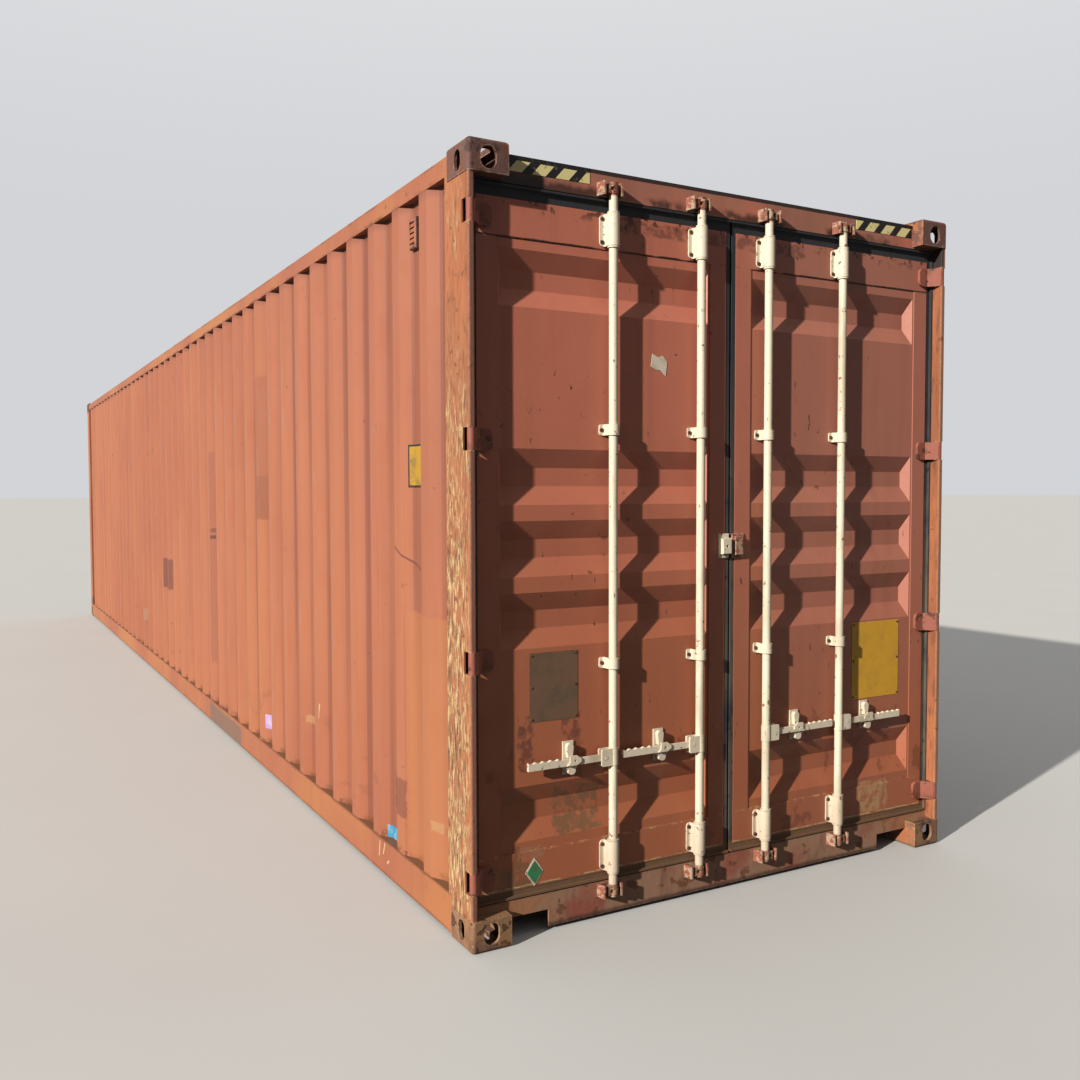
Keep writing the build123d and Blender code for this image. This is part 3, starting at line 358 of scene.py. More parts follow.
def aged(f, colour, seed, runs, chips, dents=0.004):
    """Cloudy fading, run marks, chips down to rust and shallow dents, as on any outdoor paint."""
    colour = f.mix(colour, BRICK, f.mask(f.noise(6.0, RUNS, seed=seed), 0.50, 0.72), runs)
    colour = f.mix(colour, OCHRE, f.mask(f.noise(3.0, RUNS, seed=seed + 1), 0.52, 0.74), runs)
    chip = f.both(f.speck(22.0, chips, seed + 2), f.mask(f.noise(1.6, seed=seed + 3), 0.48, 0.60))
    colour = f.mix(colour, RUST, chip, 0.85)
    f.relief(f.noise(2.2, detail=2.0, seed=seed + 4), dents)
    f.relief(f.noise(70.0, seed=seed + 5), 0.0004)
    return colour


def marked(f, colour, across, marks, seed, where):
    """Ragged patches on a face, each with its own place, colour and strength."""
    side = f.ragged(across, 0.05, 18.0, seed)
    level = f.ragged(f.z, 0.03, 18.0, seed + 1)
    for low, high, foot, top, tone, most in marks:
        patch = f.both(f.band(side, low, high), f.band(level, foot, top), where)
        colour = f.mix(colour, tone, patch, most)
    return colour


def scratched(f, colour, scratches, where):
    """Thin straight scratches on the left wall or its rail."""
    for start, end, tone in scratches:
        colour = f.mix(colour, tone, f.both(f.stroke(f.x, start, end, SCRATCH_WIDTH), where), 0.85)
    return colour


def wall_finish():
    """Walls: chalky salmon paint with faint streaks, dirt and painted shade in the recesses and folds, scuffs
    and repairs.
    """
    f = Finish("wall_paint", 0.58)
    colour = f.mix(SALMON, PEACH, f.mask(f.noise(0.45, detail=2.0), 0.36, 0.64))
    colour = aged(f, colour, 10, 0.4, 0.67, 0.006)
    colour = f.mix(colour, PEACH, f.mask(f.noise(30.0, STREAKS, seed=16), 0.56, 0.70), 0.5)
    colour = f.mix(colour, BRICK, f.mask(f.noise(24.0, STREAKS, seed=17), 0.58, 0.72), 0.45)
    # Recesses and the folds at their feet go darker: partly dirt, partly painted shade.
    hollow = f.mask(f.out, WALL_CREST - 0.008, WALL_HOLLOW + 0.005)
    colour = f.mix(colour, BRICK, hollow, 0.25)
    fold = f.band(f.out, WALL_HOLLOW + 0.002, WALL_HOLLOW + 0.007, 0.003)
    colour = f.mix(colour, MAROON, f.both(fold, f.mask(f.noise(4.0, RUNS, seed=18), 0.32, 0.62)), 0.5)
    level = f.ragged(f.z, 0.05, 14.0, 3)
    # Rust and painted shadow in the recess pockets along the wall's foot.
    foot = f.mask(level, RAIL_TOP + 0.034, RAIL_TOP + 0.008)
    colour = f.mix(colour, RUST, f.both(foot, f.either(hollow, f.speck(10.0, 0.55, 9))), 0.8)
    colour = f.mix(colour, MAROON, f.mask(level, TOP_RAIL_LOW - 0.044, TOP_RAIL_LOW - 0.004), 0.35)
    scuffed = f.both(f.mask(f.z, 0.75, 0.35), f.speck(7.0, 0.62, 4, upright(2.2)))
    colour = f.mix(colour, RUST, scuffed, 0.25)
    left = f.side(LEFT)
    colour = marked(f, colour, f.x, WALL_MARKS, 5, left)
    colour = scratched(f, colour, WALL_SCRATCHES, left)
    return f.done(colour, f.mask(f.noise(5.0, seed=8), -0.6, 1.5))


def rail_finish():
    """Rails and front posts: the walls' paint with more chips and rust along the edges."""
    f = Finish("rail_paint", 0.6)
    colour = f.mix(OCHRE, SALMON, f.mask(f.noise(0.9, detail=2.0, seed=31), 0.36, 0.62))
    colour = aged(f, colour, 32, 0.4, 0.62)
    level = f.ragged(f.z, 0.02, 10.0, 37)
    lower_edge = f.either(f.mask(level, RAIL_LOW + 0.016, RAIL_LOW),
                          f.mask(level, RAIL_TOP - 0.012, RAIL_TOP - 0.003))
    upper_edge = f.either(f.band(level, TOP_RAIL_LOW, TOP_RAIL_LOW + 0.006),
                          f.mask(level, TOP_RAIL_HIGH - 0.014, TOP_RAIL_HIGH))
    upper_edge = f.both(upper_edge, f.mask(f.noise(5.0, seed=41), 0.42, 0.58))
    low_only = f.mask(f.z, 0.3, 0.2)
    colour = f.mix(colour, RUST, f.either(f.both(lower_edge, low_only), upper_edge), 0.7)
    colour = f.mix(colour, EARTH, f.both(f.mask(f.z, RAIL_TOP - NEAR, RAIL_TOP), low_only), 0.7)
    left = f.side(LEFT)
    bare = f.both(f.band(f.ragged(f.x, 0.25, 5.0, 38), *RAIL_SCRAPE, 0.03),
                  f.mask(level, RAIL_TOP - 0.010, RAIL_TOP - 0.035), left)
    colour = f.mix(colour, GREY_BROWN, bare, 0.85)
    return f.done(scratched(f, colour, RAIL_SCRATCHES, left))


def post_finish():
    """Door posts: paint that peels in upright fibres to old coats and rust, with painted shade on the left
    one's nose front and on the right one's top.
    """
    f = Finish("peeling_paint", 0.7)
    colour = f.mix(POST_ORANGE, POST_BROWN, f.mask(f.noise(4.0, upright(0.3), seed=50), 0.40, 0.66))
    colour = f.mix(colour, RUST, f.mask(f.noise(70.0, FIBRES, 4.0, 49), 0.50, 0.68), 0.7)
    edge = f.ragged(f.x, 0.05, 7.0, 56)
    strip = f.mask(edge, POST_BACK + 0.26, POST_BACK + 0.10)
    scattered = f.mask(f.noise(7.0, upright(0.4), seed=52), 0.52, 0.64)
    lower = f.mask(f.ragged(f.z, 0.8, 2.0, 57), 2.5, 1.0)
    side = f.mask(f.out, POST_SIDE - 0.0012, POST_SIDE - 0.0004)
    peeled = f.both(f.either(f.both(strip, lower), f.both(scattered, f.mask(f.z, 3.2, 1.6))), side)
    fibre = f.noise(120.0, FIBRES, 6.0, 51)
    colour = f.mix(colour, TAN, f.both(f.mask(fibre, 0.42, 0.50), peeled), 0.8)
    colour = f.mix(colour, FLAKE, f.both(f.mask(fibre, 0.53, 0.58), peeled), 0.95)
    colour = f.mix(colour, UMBER, f.both(f.mask(f.noise(110.0, FIBRES, 6.0, 53), 0.56, 0.62), peeled), 0.8)
    front = f.mask(f.x, POST_NOSE - 0.006, POST_NOSE - 0.001)
    # Painted shade: the left post's nose front goes mauve-brown.
    colour = f.mix(colour, NOSE_SHADE_MAUVE, f.both(front, f.side(LEFT)), 0.85)
    colour = f.mix(colour, DUST, f.both(front, f.side(RIGHT)), 0.5)
    nose = f.mask(f.x, POST_NOSE - 0.03, POST_NOSE - 0.02)
    colour = f.mix(colour, FLAKE, f.both(f.worn_edges(0.006, 58), nose), 0.8)
    colour = f.mix(colour, RUST, f.speck(24.0, 0.64, 54), 0.8)
    # Painted shade: the right post's top, above the hinges, goes near black.
    painted_shade_top = f.both(f.mask(f.z, HINGE_TOP, HINGE_TOP + 0.01), f.side(RIGHT),
                   f.mask(f.out, POST_SIDE - 0.012, POST_SIDE - 0.016))
    colour = f.mix(colour, SOOT_AND_SHADE, painted_shade_top, 0.95)
    f.relief(f.both(fibre, f.math("ADD", peeled, 0.15)), 0.004)
    f.relief(f.noise(80.0, seed=55), 0.0006)
    return f.done(colour)


def door_finish():
    """Door leaves: red above, browner below, with worn seams, chips and mud along the foot."""
    f = Finish("door_paint", 0.52)
    colour = f.mix(DOOR_BROWN, DOOR_RED, f.mask(f.ragged(f.z, 0.8, 1.2, 60), 0.5, 2.2))
    colour = f.mix(colour, DOOR_PINK, f.both(f.mask(f.y, -0.3, 0.5), f.mask(f.z, 0.2, 1.6)), 0.7)
    colour = aged(f, colour, 61, 0.3, 0.69)
    high_seam = f.band(f.ragged(f.z, 0.007, 20.0, 68), SEAM_HIGH - 0.002, SEAM_HIGH + 0.002, 0.003)
    colour = f.mix(colour, UMBER, f.both(high_seam, f.speck(4.0, 0.40, 69, soft=0.1)), 0.9)
    low_seam = f.band(f.ragged(f.z, 0.005, 20.0, 67), SEAM_LOW - 0.004, SEAM_LOW + 0.001, 0.003)
    colour = f.mix(colour, FLAKE, f.both(low_seam, f.speck(36.0, 0.48, 66, soft=0.15)), 0.55)
    streak = f.speck(40.0, 0.66, 70, upright(0.35))
    colour = f.mix(colour, SOOT_AND_SHADE, f.both(streak, f.mask(f.noise(2.6, seed=71), 0.50, 0.6)), 0.85)
    flecks = f.both(f.speck(26.0, 0.56, 75), f.mask(f.z, LEAF_TOP - 0.06, LEAF_TOP))
    colour = f.mix(colour, UMBER, flecks, 0.85)
    scuffed = f.both(f.mask(f.z, 1.2, 0.5), f.speck(8.0, 0.62, 72, upright(0.6)))
    colour = f.mix(colour, RUST, scuffed, 0.55)
    colour = marked(f, colour, f.y, DOOR_MARKS, 76, f.mask(f.noise(28.0, detail=5.0, seed=78), 0.38, 0.56))
    mud_line = f.ragged(f.z, 0.008, 14.0, 73)
    colour = f.mix(colour, FLAKE, f.both(f.band(mud_line, LEAF_FOOT + 0.006, LEAF_FOOT + 0.010, 0.003),
                                         f.speck(26.0, 0.36, 79, soft=0.2)), 0.7)
    colour = f.mix(colour, EARTH, f.mask(mud_line, LEAF_FOOT + 0.008, LEAF_FOOT + 0.004), 0.85)
    return f.done(colour, f.mask(f.noise(6.0, seed=74), -0.5, 1.6))


def header_finish():
    """Header: red with dark stains and painted shadow over the gasket, a painted shadow darkening its left
    corner and a black upper edge.
    """
    f = Finish("header_paint", 0.58)
    colour = f.mix(DOOR_PINK, DOOR_RED, f.mask(f.noise(1.2, seed=80), 0.4, 0.6))
    colour = aged(f, f.mix(colour, DUST, f.mask(f.noise(3.0, seed=86), 0.45, 0.7), 0.4), 81, 0.3, 0.66)
    level = f.ragged(f.z, 0.05, 16.0, 87)
    # Over the gasket: dark stains, plus painted shadow of the cams and of the casting left of the first rod.
    stain_and_shadow_spots = f.either(f.speck(4.0, 0.45, 88, soft=0.12), f.mask(f.ragged(f.y, 0.4, 5.0, 85), -0.60, -0.75))
    stain_and_shadow = f.both(f.mask(level, GASKET_HIGH + 0.048, GASKET_HIGH + 0.018), stain_and_shadow_spots)
    colour = f.mix(colour, UMBER, stain_and_shadow, 0.9)
    # Painted shadow: the left corner under the casting goes near black.
    colour = f.mix(colour, SOOT_AND_SHADE, f.mask(f.ragged(f.y, 0.03, 9.0, 90), *HEADER_SHADOW_CORNER), 0.8)
    black = f.mask(f.ragged(f.z, 0.004, 12.0, 89), HEADER_TOP - 0.018, HEADER_TOP - 0.014)
    colour = f.mix(colour, SOOT_AND_SHADE, black, 0.94)
    return f.done(colour)


def sill_finish():
    """Sill: the doors' paint under dust, bare and rusty along its edges."""
    f = Finish("sill_paint", 0.7)
    colour = f.mix(HINGE_RED, DUST, f.mask(f.noise(5.0, detail=4.0, seed=90), 0.30, 0.54), 0.85)
    colour = f.mix(colour, MAROON, f.mask(f.noise(9.0, upright(0.3), seed=94), 0.54, 0.70), 0.55)
    colour = f.mix(colour, RUST, f.speck(12.0, 0.58, 91), 0.8)
    ends = f.both(f.mask(f.out, *SILL_ENDS), f.mask(f.noise(11.0, seed=95), 0.36, 0.56))
    colour = f.mix(colour, OCHRE, ends, 0.6)
    foot = f.mask(f.ragged(f.z, 0.02, 20.0, 92), SILL_FOOT + 0.023, SILL_FOOT + 0.005)
    colour = f.mix(colour, UMBER, foot, 0.8)
    colour = f.mix(colour, EARTH, f.mask(f.z, GASKET_LOW - 0.010, GASKET_LOW - 0.005), 0.8)
    colour = f.mix(colour, WORN, f.worn_edges(0.005, 96), 0.6)
    f.relief(f.noise(30.0, seed=93), 0.0015)
    return f.done(colour)


def casting_finish():
    """Corner castings: rough steel, mauve-brown above, tan below, with worn edges and some old paint."""
    f = Finish("cast_steel", 0.72)
    colour = f.mix(MAUVE, RUST, f.mask(f.noise(9.0, detail=5.0, seed=100), 0.45, 0.68))
    colour = f.mix(colour, TAN, f.both(f.mask(f.z, 0.3, 0.1), f.mask(f.noise(8.0, seed=101), 0.3, 0.55)), 0.8)
    inner = f.both(f.mask(f.out, CASTING_INNER + 0.002, CASTING_INNER), f.side(RIGHT))
    colour = f.mix(colour, POST_ORANGE, f.both(inner, f.mask(f.noise(20.0, seed=106), 0.36, 0.56)), 0.8)
    colour = f.mix(colour, CREAM_DIRTY, f.speck(60.0, 0.66, 102), 0.7)
    colour = f.mix(colour, UMBER, f.speck(16.0, 0.60, 103), 0.8)
    colour = f.mix(colour, WORN, f.worn_edges(0.008, 105), 0.7)
    f.relief(f.noise(45.0, detail=4.0, seed=104), 0.002)
    return f.done(colour)


def hardware_finish():
    """Rods, straps and handles: cream paint, chipped, with red and rusty cams at the rods' ends."""
    f = Finish("cream_hardware", 0.5)
    colour = f.mix(CREAM, CREAM_DIRTY, f.mask(f.noise(9.0, upright(0.25), 4.0, 110), 0.50, 0.74), 0.7)
    colour = f.mix(colour, GREY_BROWN, f.speck(45.0, 0.64, 111), 0.8)
    colour = f.mix(colour, RUST, f.speck(22.0, 0.66, 112), 0.85)
    colour = f.mix(colour, GREY_BROWN, f.worn_edges(0.003, 117), 0.5)
    ends = f.either(f.mask(f.z, GASKET_HIGH + 0.006, GASKET_HIGH + 0.012),
                    f.mask(f.z, GASKET_LOW - 0.010, GASKET_LOW - 0.016))
    flaked = f.mix(BRICK, CREAM_DIRTY, f.speck(38.0, 0.52, 113))
    flaked = f.mix(flaked, UMBER, f.speck(30.0, 0.58, 114), 0.9)
    colour = f.mix(colour, flaked, ends)
    colour = f.mix(colour, DUST, f.mask(f.ragged(f.z, 0.2, 8.0, 115), 0.42, 0.18), 0.35)
    f.relief(f.noise(60.0, seed=116), 0.0006)
    return f.done(colour)


def flaking_finish(name, paint, seed, flakes):
    """Keepers, hinges and the lock bracket: red paint flaking off rust."""
    f = Finish(name, 0.62)
    colour = f.mix(paint, RUST, f.mask(f.noise(14.0, detail=5.0, seed=seed), 0.50, 0.66), 0.8)
    colour = f.mix(colour, UMBER, f.speck(26.0, 0.60, seed + 1), 0.8)
    colour = f.mix(colour, CREAM_DIRTY, f.speck(48.0, flakes, seed + 2), 0.7)
    colour = f.mix(colour, WORN, f.worn_edges(0.004, seed + 4), 0.5)
    f.relief(f.noise(50.0, detail=4.0, seed=seed + 3), 0.0012)
    return f.done(colour)


def bolt_finish():
    """Bolt heads and rivets: bare steel gone to dark rust."""
    f = Finish("rusty_bolts", 0.7)
    colour = f.mix(UMBER, RUST, f.mask(f.noise(60.0, detail=4.0, seed=125), 0.42, 0.62))
    f.relief(f.noise(120.0, seed=126), 0.0008)
    return f.done(colour)


def rubber_finish():
    """Door gaskets: rubber, dustier towards the foot and muddy along it."""
    f = Finish("gasket_rubber", 0.75)
    dusty = f.mask(f.noise(12.0, upright(0.3), 5.0, 130), 0.30, 0.62)
    lower = f.mask(f.z, GASKET_HIGH - 0.2, GASKET_LOW + 0.9)
    colour = f.mix(RUBBER, RUBBER_DUST, f.both(dusty, lower), 0.8)
    colour = f.mix(colour, SOOT_AND_SHADE, f.speck(20.0, 0.62, 131), 0.8)
    colour = f.mix(colour, EARTH, f.mask(f.ragged(f.z, 0.06, 9.0, 132), LEAF_FOOT + 0.03, LEAF_FOOT), 0.85)
    f.relief(f.noise(40.0, upright(0.2), seed=133), 0.001)
    return f.done(colour)


def floor_finish():
    """Plywood boards with joints, fork-lift scuffs and rows of screws."""
    f = Finish("floor_plywood", 0.65)
    grain = f.noise(42.0, (0.05, 1.0, 1.0), 5.0, 140)
    colour = f.mix(PLYWOOD, PLYWOOD_DARK, f.mask(grain, 0.38, 0.68), 0.8)
    colour = f.mix(colour, PLYWOOD_DARK, f.mask(f.noise(1.3, seed=142), 0.42, 0.66), 0.6)
    colour = f.mix(colour, GREY_BROWN, f.speck(5.0, 0.56, 141, (0.3, 1.0, 1.0), soft=0.1), 0.5)
    end = f.math("PINGPONG", f.x, BOARD_LENGTH / 2)
    side = f.math("PINGPONG", f.y, BOARD_WIDTH / 2)
    colour = f.mix(colour, SOOT_AND_SHADE, f.mask(f.math("MINIMUM", end, side), BOARD_GAP, BOARD_GAP / 2))
    row = f.math("PINGPONG", f.x, SCREW_ROW / 2)
    place = f.math("PINGPONG", f.math("ADD", f.y, SCREW_STEP / 2), SCREW_STEP / 2)
    reach = f.math("SQRT", f.math("ADD", f.both(row, row), f.both(place, place)))
    colour = f.mix(colour, SOOT_AND_SHADE, f.mask(reach, SCREW_RADIUS, SCREW_RADIUS - SCREW_RIM), 0.8)
    f.relief(grain, 0.0008)
    return f.done(colour)


def coating_finish():
    """Underframe: dark coating with road dust and rust."""
    f = Finish("underframe_coating", 0.8)
    colour = f.mix(COATING, RUST, f.mask(f.noise(4.0, detail=5.0, seed=150), 0.52, 0.70))
    colour = f.mix(colour, DUST, f.mask(f.noise(9.0, seed=151), 0.54, 0.74), 0.5)
    f.relief(f.noise(40.0, seed=152), 0.001)
    return f.done(colour)


def vent_finish():
    """Vents: moulded covers, painted over with the walls, with painted shade in the slits."""
    f = Finish("vent_plastic", 0.6)
    colour = f.mix(SALMON, UMBER, f.mask(f.noise(20.0, detail=4.0, seed=160), 0.50, 0.72), 0.8)
    # Painted shade: faces set back into the slits go near black.
    colour = f.mix(colour, SOOT_AND_SHADE, f.mask(f.out, VENT_FACE - 0.0025, VENT_FACE - 0.0035), 0.7)
    f.relief(f.noise(60.0, seed=161), 0.0006)
    return f.done(colour)


def roof_finish():
    """Roof: the walls' paint, bleached, with dirt in the hollows and rust spots."""
    f = Finish("roof_paint", 0.62)
    colour = aged(f, f.mix(PEACH, OCHRE, f.mask(f.noise(0.7, seed=170), 0.4, 0.62)), 171, 0.2, 0.6)
    dirt = f.mask(f.ragged(f.z, 0.012, 3.0, 177), TOP_RAIL_HIGH + 0.007, TOP_RAIL_HIGH + 0.002)
    colour = f.mix(colour, GREY_BROWN, dirt, 0.5)
    return f.done(colour)


def stripe_finish():
    """Hazard stripes: slanted dark and pale yellow bars under a black edge, scuffed."""
    f = Finish("hazard_stripes", 0.5)
    slant = f.math("ADD", f.y, f.math("MULTIPLY", f.z, STRIPE_LEAN))
    bar = f.math("FRACT", f.math("DIVIDE", slant, STRIPE_PITCH))
    edge = f.mask(f.z, HAZARD_EDGE - NEAR, HAZARD_EDGE)
    colour = f.mix(STRIPE_YELLOW, SOOT_AND_SHADE, f.either(f.band(bar, *STRIPE_DARK, 0.02), edge))
    colour = f.mix(colour, GREY_BROWN, f.speck(36.0, 0.62, 180), 0.6)
    return f.done(colour)


def plain_sign(name, tone, wear, seed):
    """A bare sign or plate: one faded colour with stains and scratches."""
    f = Finish(name, 0.5)
    colour = f.mix(tone, wear, f.mask(f.noise(16.0, detail=5.0, seed=seed), 0.44, 0.72), 0.7)
    colour = f.mix(colour, UMBER, f.speck(50.0, 0.68, seed + 1), 0.7)
    f.relief(f.noise(25.0, seed=seed + 2), 0.0008)
    return f.done(colour)


def ground_finish():
    """Pale floor with hardly any sheen."""
    f = Finish("ground_pale", 0.85)
    f.shader.inputs["Specular IOR Level"].default_value = FLOOR_GLOSS
    return f.done(f.mix(FLOOR_PALE, FLOOR_CLOUD, f.noise(0.8, seed=190)))


def dress(material, *nodes):
    """Give CAD nodes a material."""
    for node in nodes:
        mesh = frame["nodes"][node].data
        if not mesh.materials:
            mesh.materials.append(material)
        for slot in frame["nodes"][node].material_slots:
            slot.material = material


def dress_frame(hardware):
    """Materials of the fixed structure and of the doors."""
    rubber, door = rubber_finish(), door_finish()
    hinge = flaking_finish("hinge_paint", HINGE_RED, 127, 0.70)
    dress(wall_finish(), "side_wall_left", "side_wall_right", "front_wall")
    dress(rail_finish(), "front_post_left", "front_post_right", "top_side_rail_left", "top_side_rail_right",
          "bottom_side_rail_left", "bottom_side_rail_right", "front_top_rail", "front_bottom_rail")
    dress(post_finish(), "door_post_left", "door_post_right")
    dress(roof_finish(), "roof_panel")
    dress(header_finish(), "door_header")
    dress(sill_finish(), "door_sill")
    dress(casting_finish(), "corner_castings_top", "corner_castings_bottom")
    dress(floor_finish(), "floor_boards")
    dress(coating_finish(), "cross_members", "gooseneck_tunnel")
    dress(vent_finish(), "side_vents")
    dress(flaking_finish("keeper_paint", HINGE_RED, 120, 0.50), "cam_keepers", "right_door_lock_bracket")
    for hand in HANDS:
        dress(door, f"{hand}_door_frame", f"{hand}_door_panel")
        dress(hinge, f"{hand}_door_hinges")
        dress(rubber, f"{hand}_door_gasket")
        dress(hardware, f"{hand}_door_rod_straps", f"{hand}_door_handle_rests")
        for place in ("inner", "outer"):
            dress(hardware, f"{hand}_{place}_rod", f"{hand}_{place}_handle")
    dress(hardware, "left_door_lock_block")


def slab(bm, low, high):
    """A box between two corners."""
    low, high = Vector(low), Vector(high)
    size = Matrix.Diagonal((*(high - low), 1.0))
    bmesh.ops.create_cube(bm, size=1.0, matrix=Matrix.Translation((low + high) / 2) @ size)


def stud(bm, place, radius, height, sides):
    """A tapered head that stands out along +X from its seat."""
    centre = Vector(place) + Vector((height / 2, 0, 0))
    matrix = Matrix.Translation(centre) @ Matrix.Rotation(math.pi / 2, 4, "Y")
    bmesh.ops.create_cone(bm, cap_ends=True, segments=sides, radius1=radius, radius2=radius * HEAD_TAPER,
                          depth=height, matrix=matrix)


def sheet(bm, points, thickness, normal):
    """A thin flat plate with the outline of some points, raised along a normal."""
    face = bm.faces.new([bm.verts.new(p) for p in points])
    face.normal_update()
    if face.normal.dot(Vector(normal)) < 0:
        face.normal_flip()
    result = bmesh.ops.extrude_face_region(bm, geom=[face])
    moved = [v for v in result["geom"] if isinstance(v, bmesh.types.BMVert)]
    bmesh.ops.translate(bm, verts=moved, vec=Vector(normal) * thickness)
    bmesh.ops.recalc_face_normals(bm, faces=bm.faces)


def piece(name, body, material, bm):
    """Turn a mesh into a named piece that rides on a body."""
    mesh = bpy.data.meshes.new(name)
    bm.to_mesh(mesh)
    bm.free()
    mesh.materials.append(material)
    obj = bpy.data.objects.new(name, mesh)
    scene.collection.objects.link(obj)
    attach(obj, body)


def rod_places(hand):
    """Y of a leaf's two rods."""
    return [j["pos_m"][1] for j in frame["record"]["behaviour"]["joints"]
            if j["name"].startswith(hand) and j["name"].endswith("rod_turn")]


def guide_levels(hand):
    """Heights of the short guides, whose seats lie deepest on the leaf."""
    points = [v.co for v in frame["nodes"][f"{hand}_door_rod_straps"].data.vertices]
    seat = min(p.x for p in points) + NEAR
    heights = [p.z for p in points if p.x < seat]
    middle = (min(heights) + max(heights)) / 2
    groups = ([z for z in heights if z < middle], [z for z in heights if z > middle])
    return [(min(group) + max(group)) / 2 for group in groups]


def strap_bolts(hand, material):
    """Bolt heads on the tall straps and the short guides of a leaf."""
    low, high = (corner[2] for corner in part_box(f"{hand}_door_rod_straps"))
    bm = bmesh.new()
    for y in rod_places(hand):
        for across in (y - STRAP_BOLT_ACROSS, y + STRAP_BOLT_ACROSS):
            for level in (low + STRAP_HALF_HEIGHT, high - STRAP_HALF_HEIGHT):
                for z in (level - STRAP_BOLT_RISE, level + STRAP_BOLT_RISE):
                    stud(bm, (LEAF_FACE + STRAP_PLATE, across, z), BOLT_RADIUS, BOLT_HEIGHT, HEX_SIDES)
            for z in guide_levels(hand):
                stud(bm, (PANEL_FACE + STRAP_PLATE, across, z), BOLT_RADIUS, BOLT_HEIGHT, HEX_SIDES)
    piece(f"{hand}_door_strap_bolts", f"{hand}_door", material, bm)


def hazard_panels():
    """Striped panels at both ends of the header."""
    bm = bmesh.new()
    for (y0, z0), (y1, z1) in HAZARD_PANELS:
        slab(bm, (HEADER_FACE, y0, z0), (HEADER_FACE + PLATE_THICKNESS, y1, z1))
    piece("hazard_panels", "container", stripe_finish(), bm)


def riveted_plate(name, body, corners, material, rivet_material):
    """A bare plate on a leaf's panel with six rivets."""
    (y0, z0), (y1, z1) = corners
    front = PANEL_FACE + PLATE_THICKNESS
    bm = bmesh.new()
    slab(bm, (PANEL_FACE, y0, z0), (front, y1, z1))
    piece(name, body, material, bm)
    bm = bmesh.new()
    inset = 2 * RIVET_RADIUS
    for y in (y0 + inset, y1 - inset):
        for z in (z0 + inset, (z0 + z1) / 2, z1 - inset):
            stud(bm, (front, y, z), RIVET_RADIUS, RIVET_RADIUS / 2, ROUND_SIDES)
    piece(f"{name}_rivets", body, rivet_material, bm)


def flat_sign(name, body, points, normal, material):
    """A thin bare sign with a given outline."""
    bm = bmesh.new()
    sheet(bm, points, PLATE_THICKNESS, normal)
    piece(name, body, material, bm)


def diamond_sign():
    """Bare green diamond in a pale border at the foot of the left door."""
    y, z = DIAMOND_MIDDLE
    layers = (("diamond_border", 1.0, LEAF_FACE, plain_sign("sign_border", PAPER, DUST, 212)),
              ("diamond_sign", DIAMOND_BORDER, LEAF_FACE + PLATE_THICKNESS,
               plain_sign("sign_green", SIGN_GREEN, OLIVE, 210)))
    for name, scale, x, material in layers:
        half, rise = DIAMOND_HALF_WIDTH * scale, DIAMOND_HALF_HEIGHT * scale
        points = [(x, y - half, z), (x, y, z - rise), (x, y + half, z), (x, y, z + rise)]
        flat_sign(name, "left_door", points, (1, 0, 0), material)


def wall_line(x0, x1):
    """Plan points (x, y) of the left wall's outer face from x0 to x1."""
    depth = {}
    for vertex in frame["nodes"]["side_wall_left"].data.vertices:
        x, y = round(vertex.co.x, 4), vertex.co.y
        depth[x] = min(y, depth.get(x, y))
    bends = sorted(depth)
    inner = [(x, depth[x]) for x in bends if x0 < x < x1]
    ends = []
    for x in (x0, x1):
        before = max(b for b in bends if b <= x)
        after = min(b for b in bends if b >= x)
        share = (x - before) / (after - before) if after > before else 0.0
        ends.append((x, depth[before] + (depth[after] - depth[before]) * share))
    return [ends[0], *inner, ends[1]]


def wall_sign(name, x0, x1, z0, z1, lift, material):
    """A thin bare sticker that follows the left wall's folds, raised by a lift."""
    line = wall_line(x0, x1)
    bm = bmesh.new()
    for (xa, ya), (xb, yb) in zip(line, line[1:]):
        points = [(xa, ya - lift, z0), (xb, yb - lift, z0), (xb, yb - lift, z1), (xa, ya - lift, z1)]
        sheet(bm, points, PLATE_THICKNESS, (0, -1, 0))
    piece(name, "container", material, bm)


def signs(bolts):
    """Bare plates, labels and signs where the photograph has them."""
    riveted_plate("data_plate", "left_door", DATA_PLATE,
                  plain_sign("plate_brown", PLATE_BROWN, OLIVE, 200), bolts)
    riveted_plate("yellow_plate", "right_door", YELLOW_PLATE,
                  plain_sign("plate_yellow", SIGN_YELLOW, SIGN_AMBER, 205), bolts)
    diamond_sign()
    torn = [(PANEL_FACE, y, z) for y, z in TORN_LABEL]
    flat_sign("torn_label", "left_door", torn, (1, 0, 0), plain_sign("label_paper", PAPER, CREAM_DIRTY, 215))
    (x0, z0), (x1, z1) = WALL_SIGN
    wall_sign("wall_sign_border", x0, x1, z0, z1, 0.0, plain_sign("sign_dark", SOOT_AND_SHADE, UMBER, 230))
    wall_sign("wall_sign_yellow", x0 + SIGN_MARGIN, x1, z0 + SIGN_MARGIN, z1 - SIGN_MARGIN, PLATE_THICKNESS,
              plain_sign("sign_yellow", SIGN_GOLD, OLIVE, 233))
    for name, corners, tone in (("near", NEAR_LABEL, LABEL_BLUE), ("far", FAR_LABEL, LABEL_LILAC)):
        (x0, z0), (x1, z1) = corners
        wall_sign(f"wall_label_{name}", x0, x1, z0, z1, 0.0, plain_sign(f"label_{name}", tone, PAPER, 220))


def ground():
    """Plain pale floor."""
    bpy.ops.mesh.primitive_plane_add(size=FLOOR_SIZE)
    floor = bpy.context.object
    floor.name = "ground"
    floor.data.materials.append(ground_finish())
    floor.visible_diffuse = False


def sunlight():
    """Low soft sun."""
    sun = bpy.data.lights.new("sun", "SUN")
    sun.energy = SUN_STRENGTH
    sun.angle = math.radians(SUN_ANGLE)
    sun.color = SUN_TINT
    lamp = bpy.data.objects.new("sun", sun)
    lamp.rotation_euler = SUN_HEADING.to_track_quat("-Z", "Y").to_euler()
    scene.collection.objects.link(lamp)


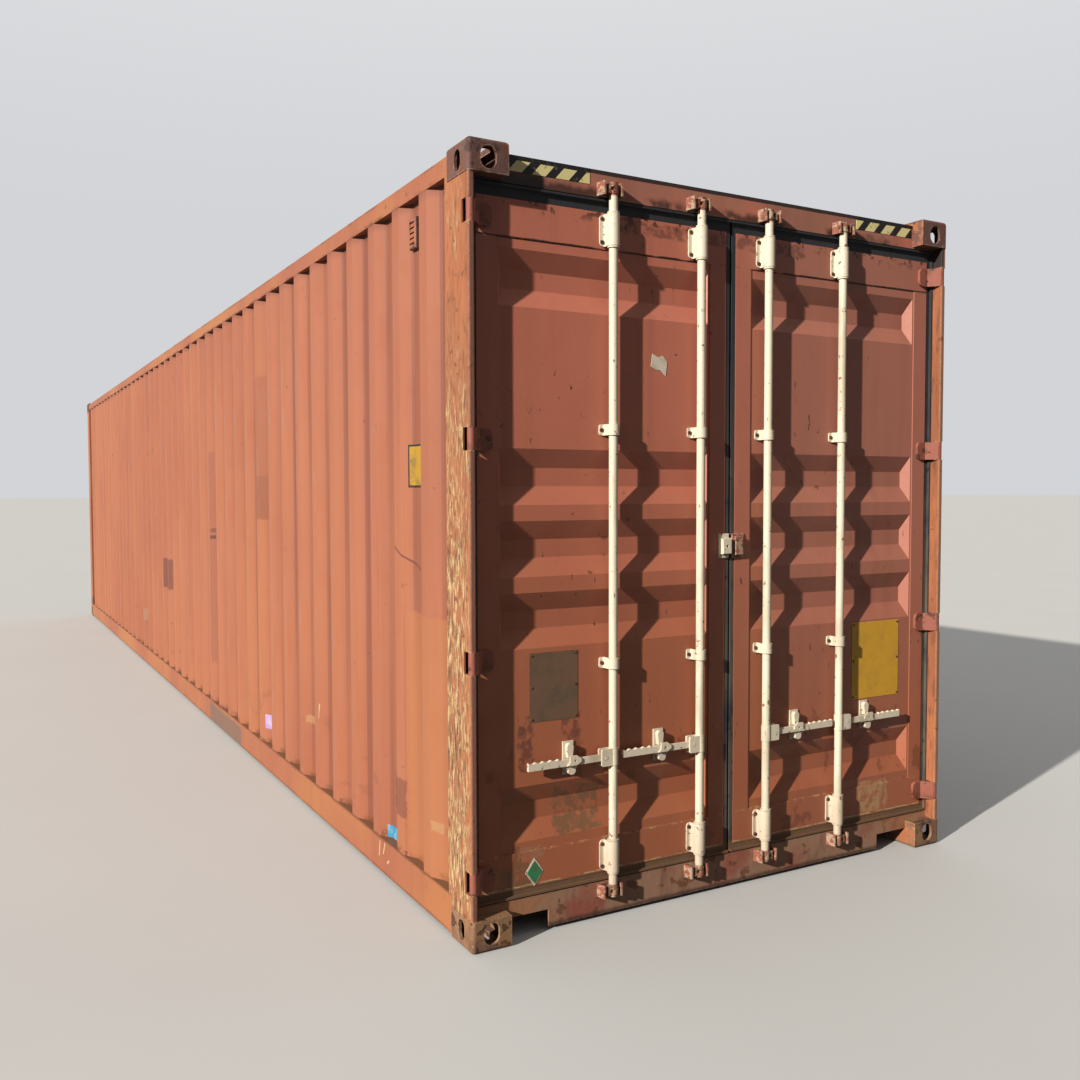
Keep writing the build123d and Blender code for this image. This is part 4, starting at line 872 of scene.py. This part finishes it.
def sky():
    """Sky with its brightness set by height, and dimmer on the doors' side."""
    world = bpy.data.worlds.new("sky")
    world.use_nodes = True
    scene.world = world
    nodes, links = world.node_tree.nodes, world.node_tree.links
    place = nodes.new("ShaderNodeTexCoord")
    split = nodes.new("ShaderNodeSeparateXYZ")
    height = nodes.new("ShaderNodeMapRange")
    height.inputs["From Min"].default_value = -1.0
    ramp = nodes.new("ShaderNodeValToRGB")
    ramp.color_ramp.interpolation = "EASE"
    stops = ramp.color_ramp.elements
    stops.remove(stops[0])
    for position, level in SKY_LEVELS:
        stops.new(position).color = (*(level * tint for tint in SKY_TINT), 1.0)
    side = nodes.new("ShaderNodeMapRange")
    for key, value in zip(("From Min", "From Max", "To Min", "To Max"), (*SKY_FADE, 1.0, SKY_DOOR_SIDE)):
        side.inputs[key].default_value = value
    links.new(place.outputs["Generated"], split.inputs[0])
    links.new(split.outputs["Z"], height.inputs["Value"])
    links.new(height.outputs[0], ramp.inputs[0])
    links.new(split.outputs["X"], side.inputs["Value"])
    links.new(ramp.outputs[0], nodes["Background"].inputs["Color"])
    links.new(side.outputs[0], nodes["Background"].inputs["Strength"])


def camera():
    """Camera at the photograph's place and angle."""
    azimuth, elevation, roll = (math.radians(v) for v in (CAMERA_AZIMUTH, CAMERA_ELEVATION, CAMERA_ROLL))
    back = Vector((math.sin(azimuth) * math.cos(elevation), -math.cos(azimuth) * math.cos(elevation),
                   math.sin(elevation)))
    turn = back.to_track_quat("Z", "Y").to_matrix().to_4x4()
    data = bpy.data.cameras.new("camera")
    data.lens = CAMERA_LENS
    obj = bpy.data.objects.new("camera", data)
    obj.matrix_world = Matrix.Translation(CAMERA_PLACE) @ turn @ Matrix.Rotation(roll, 4, "Z")
    scene.collection.objects.link(obj)
    scene.camera = obj


dress_frame(hardware_finish())
bolts = bolt_finish()
for hand in HANDS:
    strap_bolts(hand, bolts)
hazard_panels()
signs(bolts)
ground()
sunlight()
sky()
camera()
scene.view_settings.view_transform = "Standard"
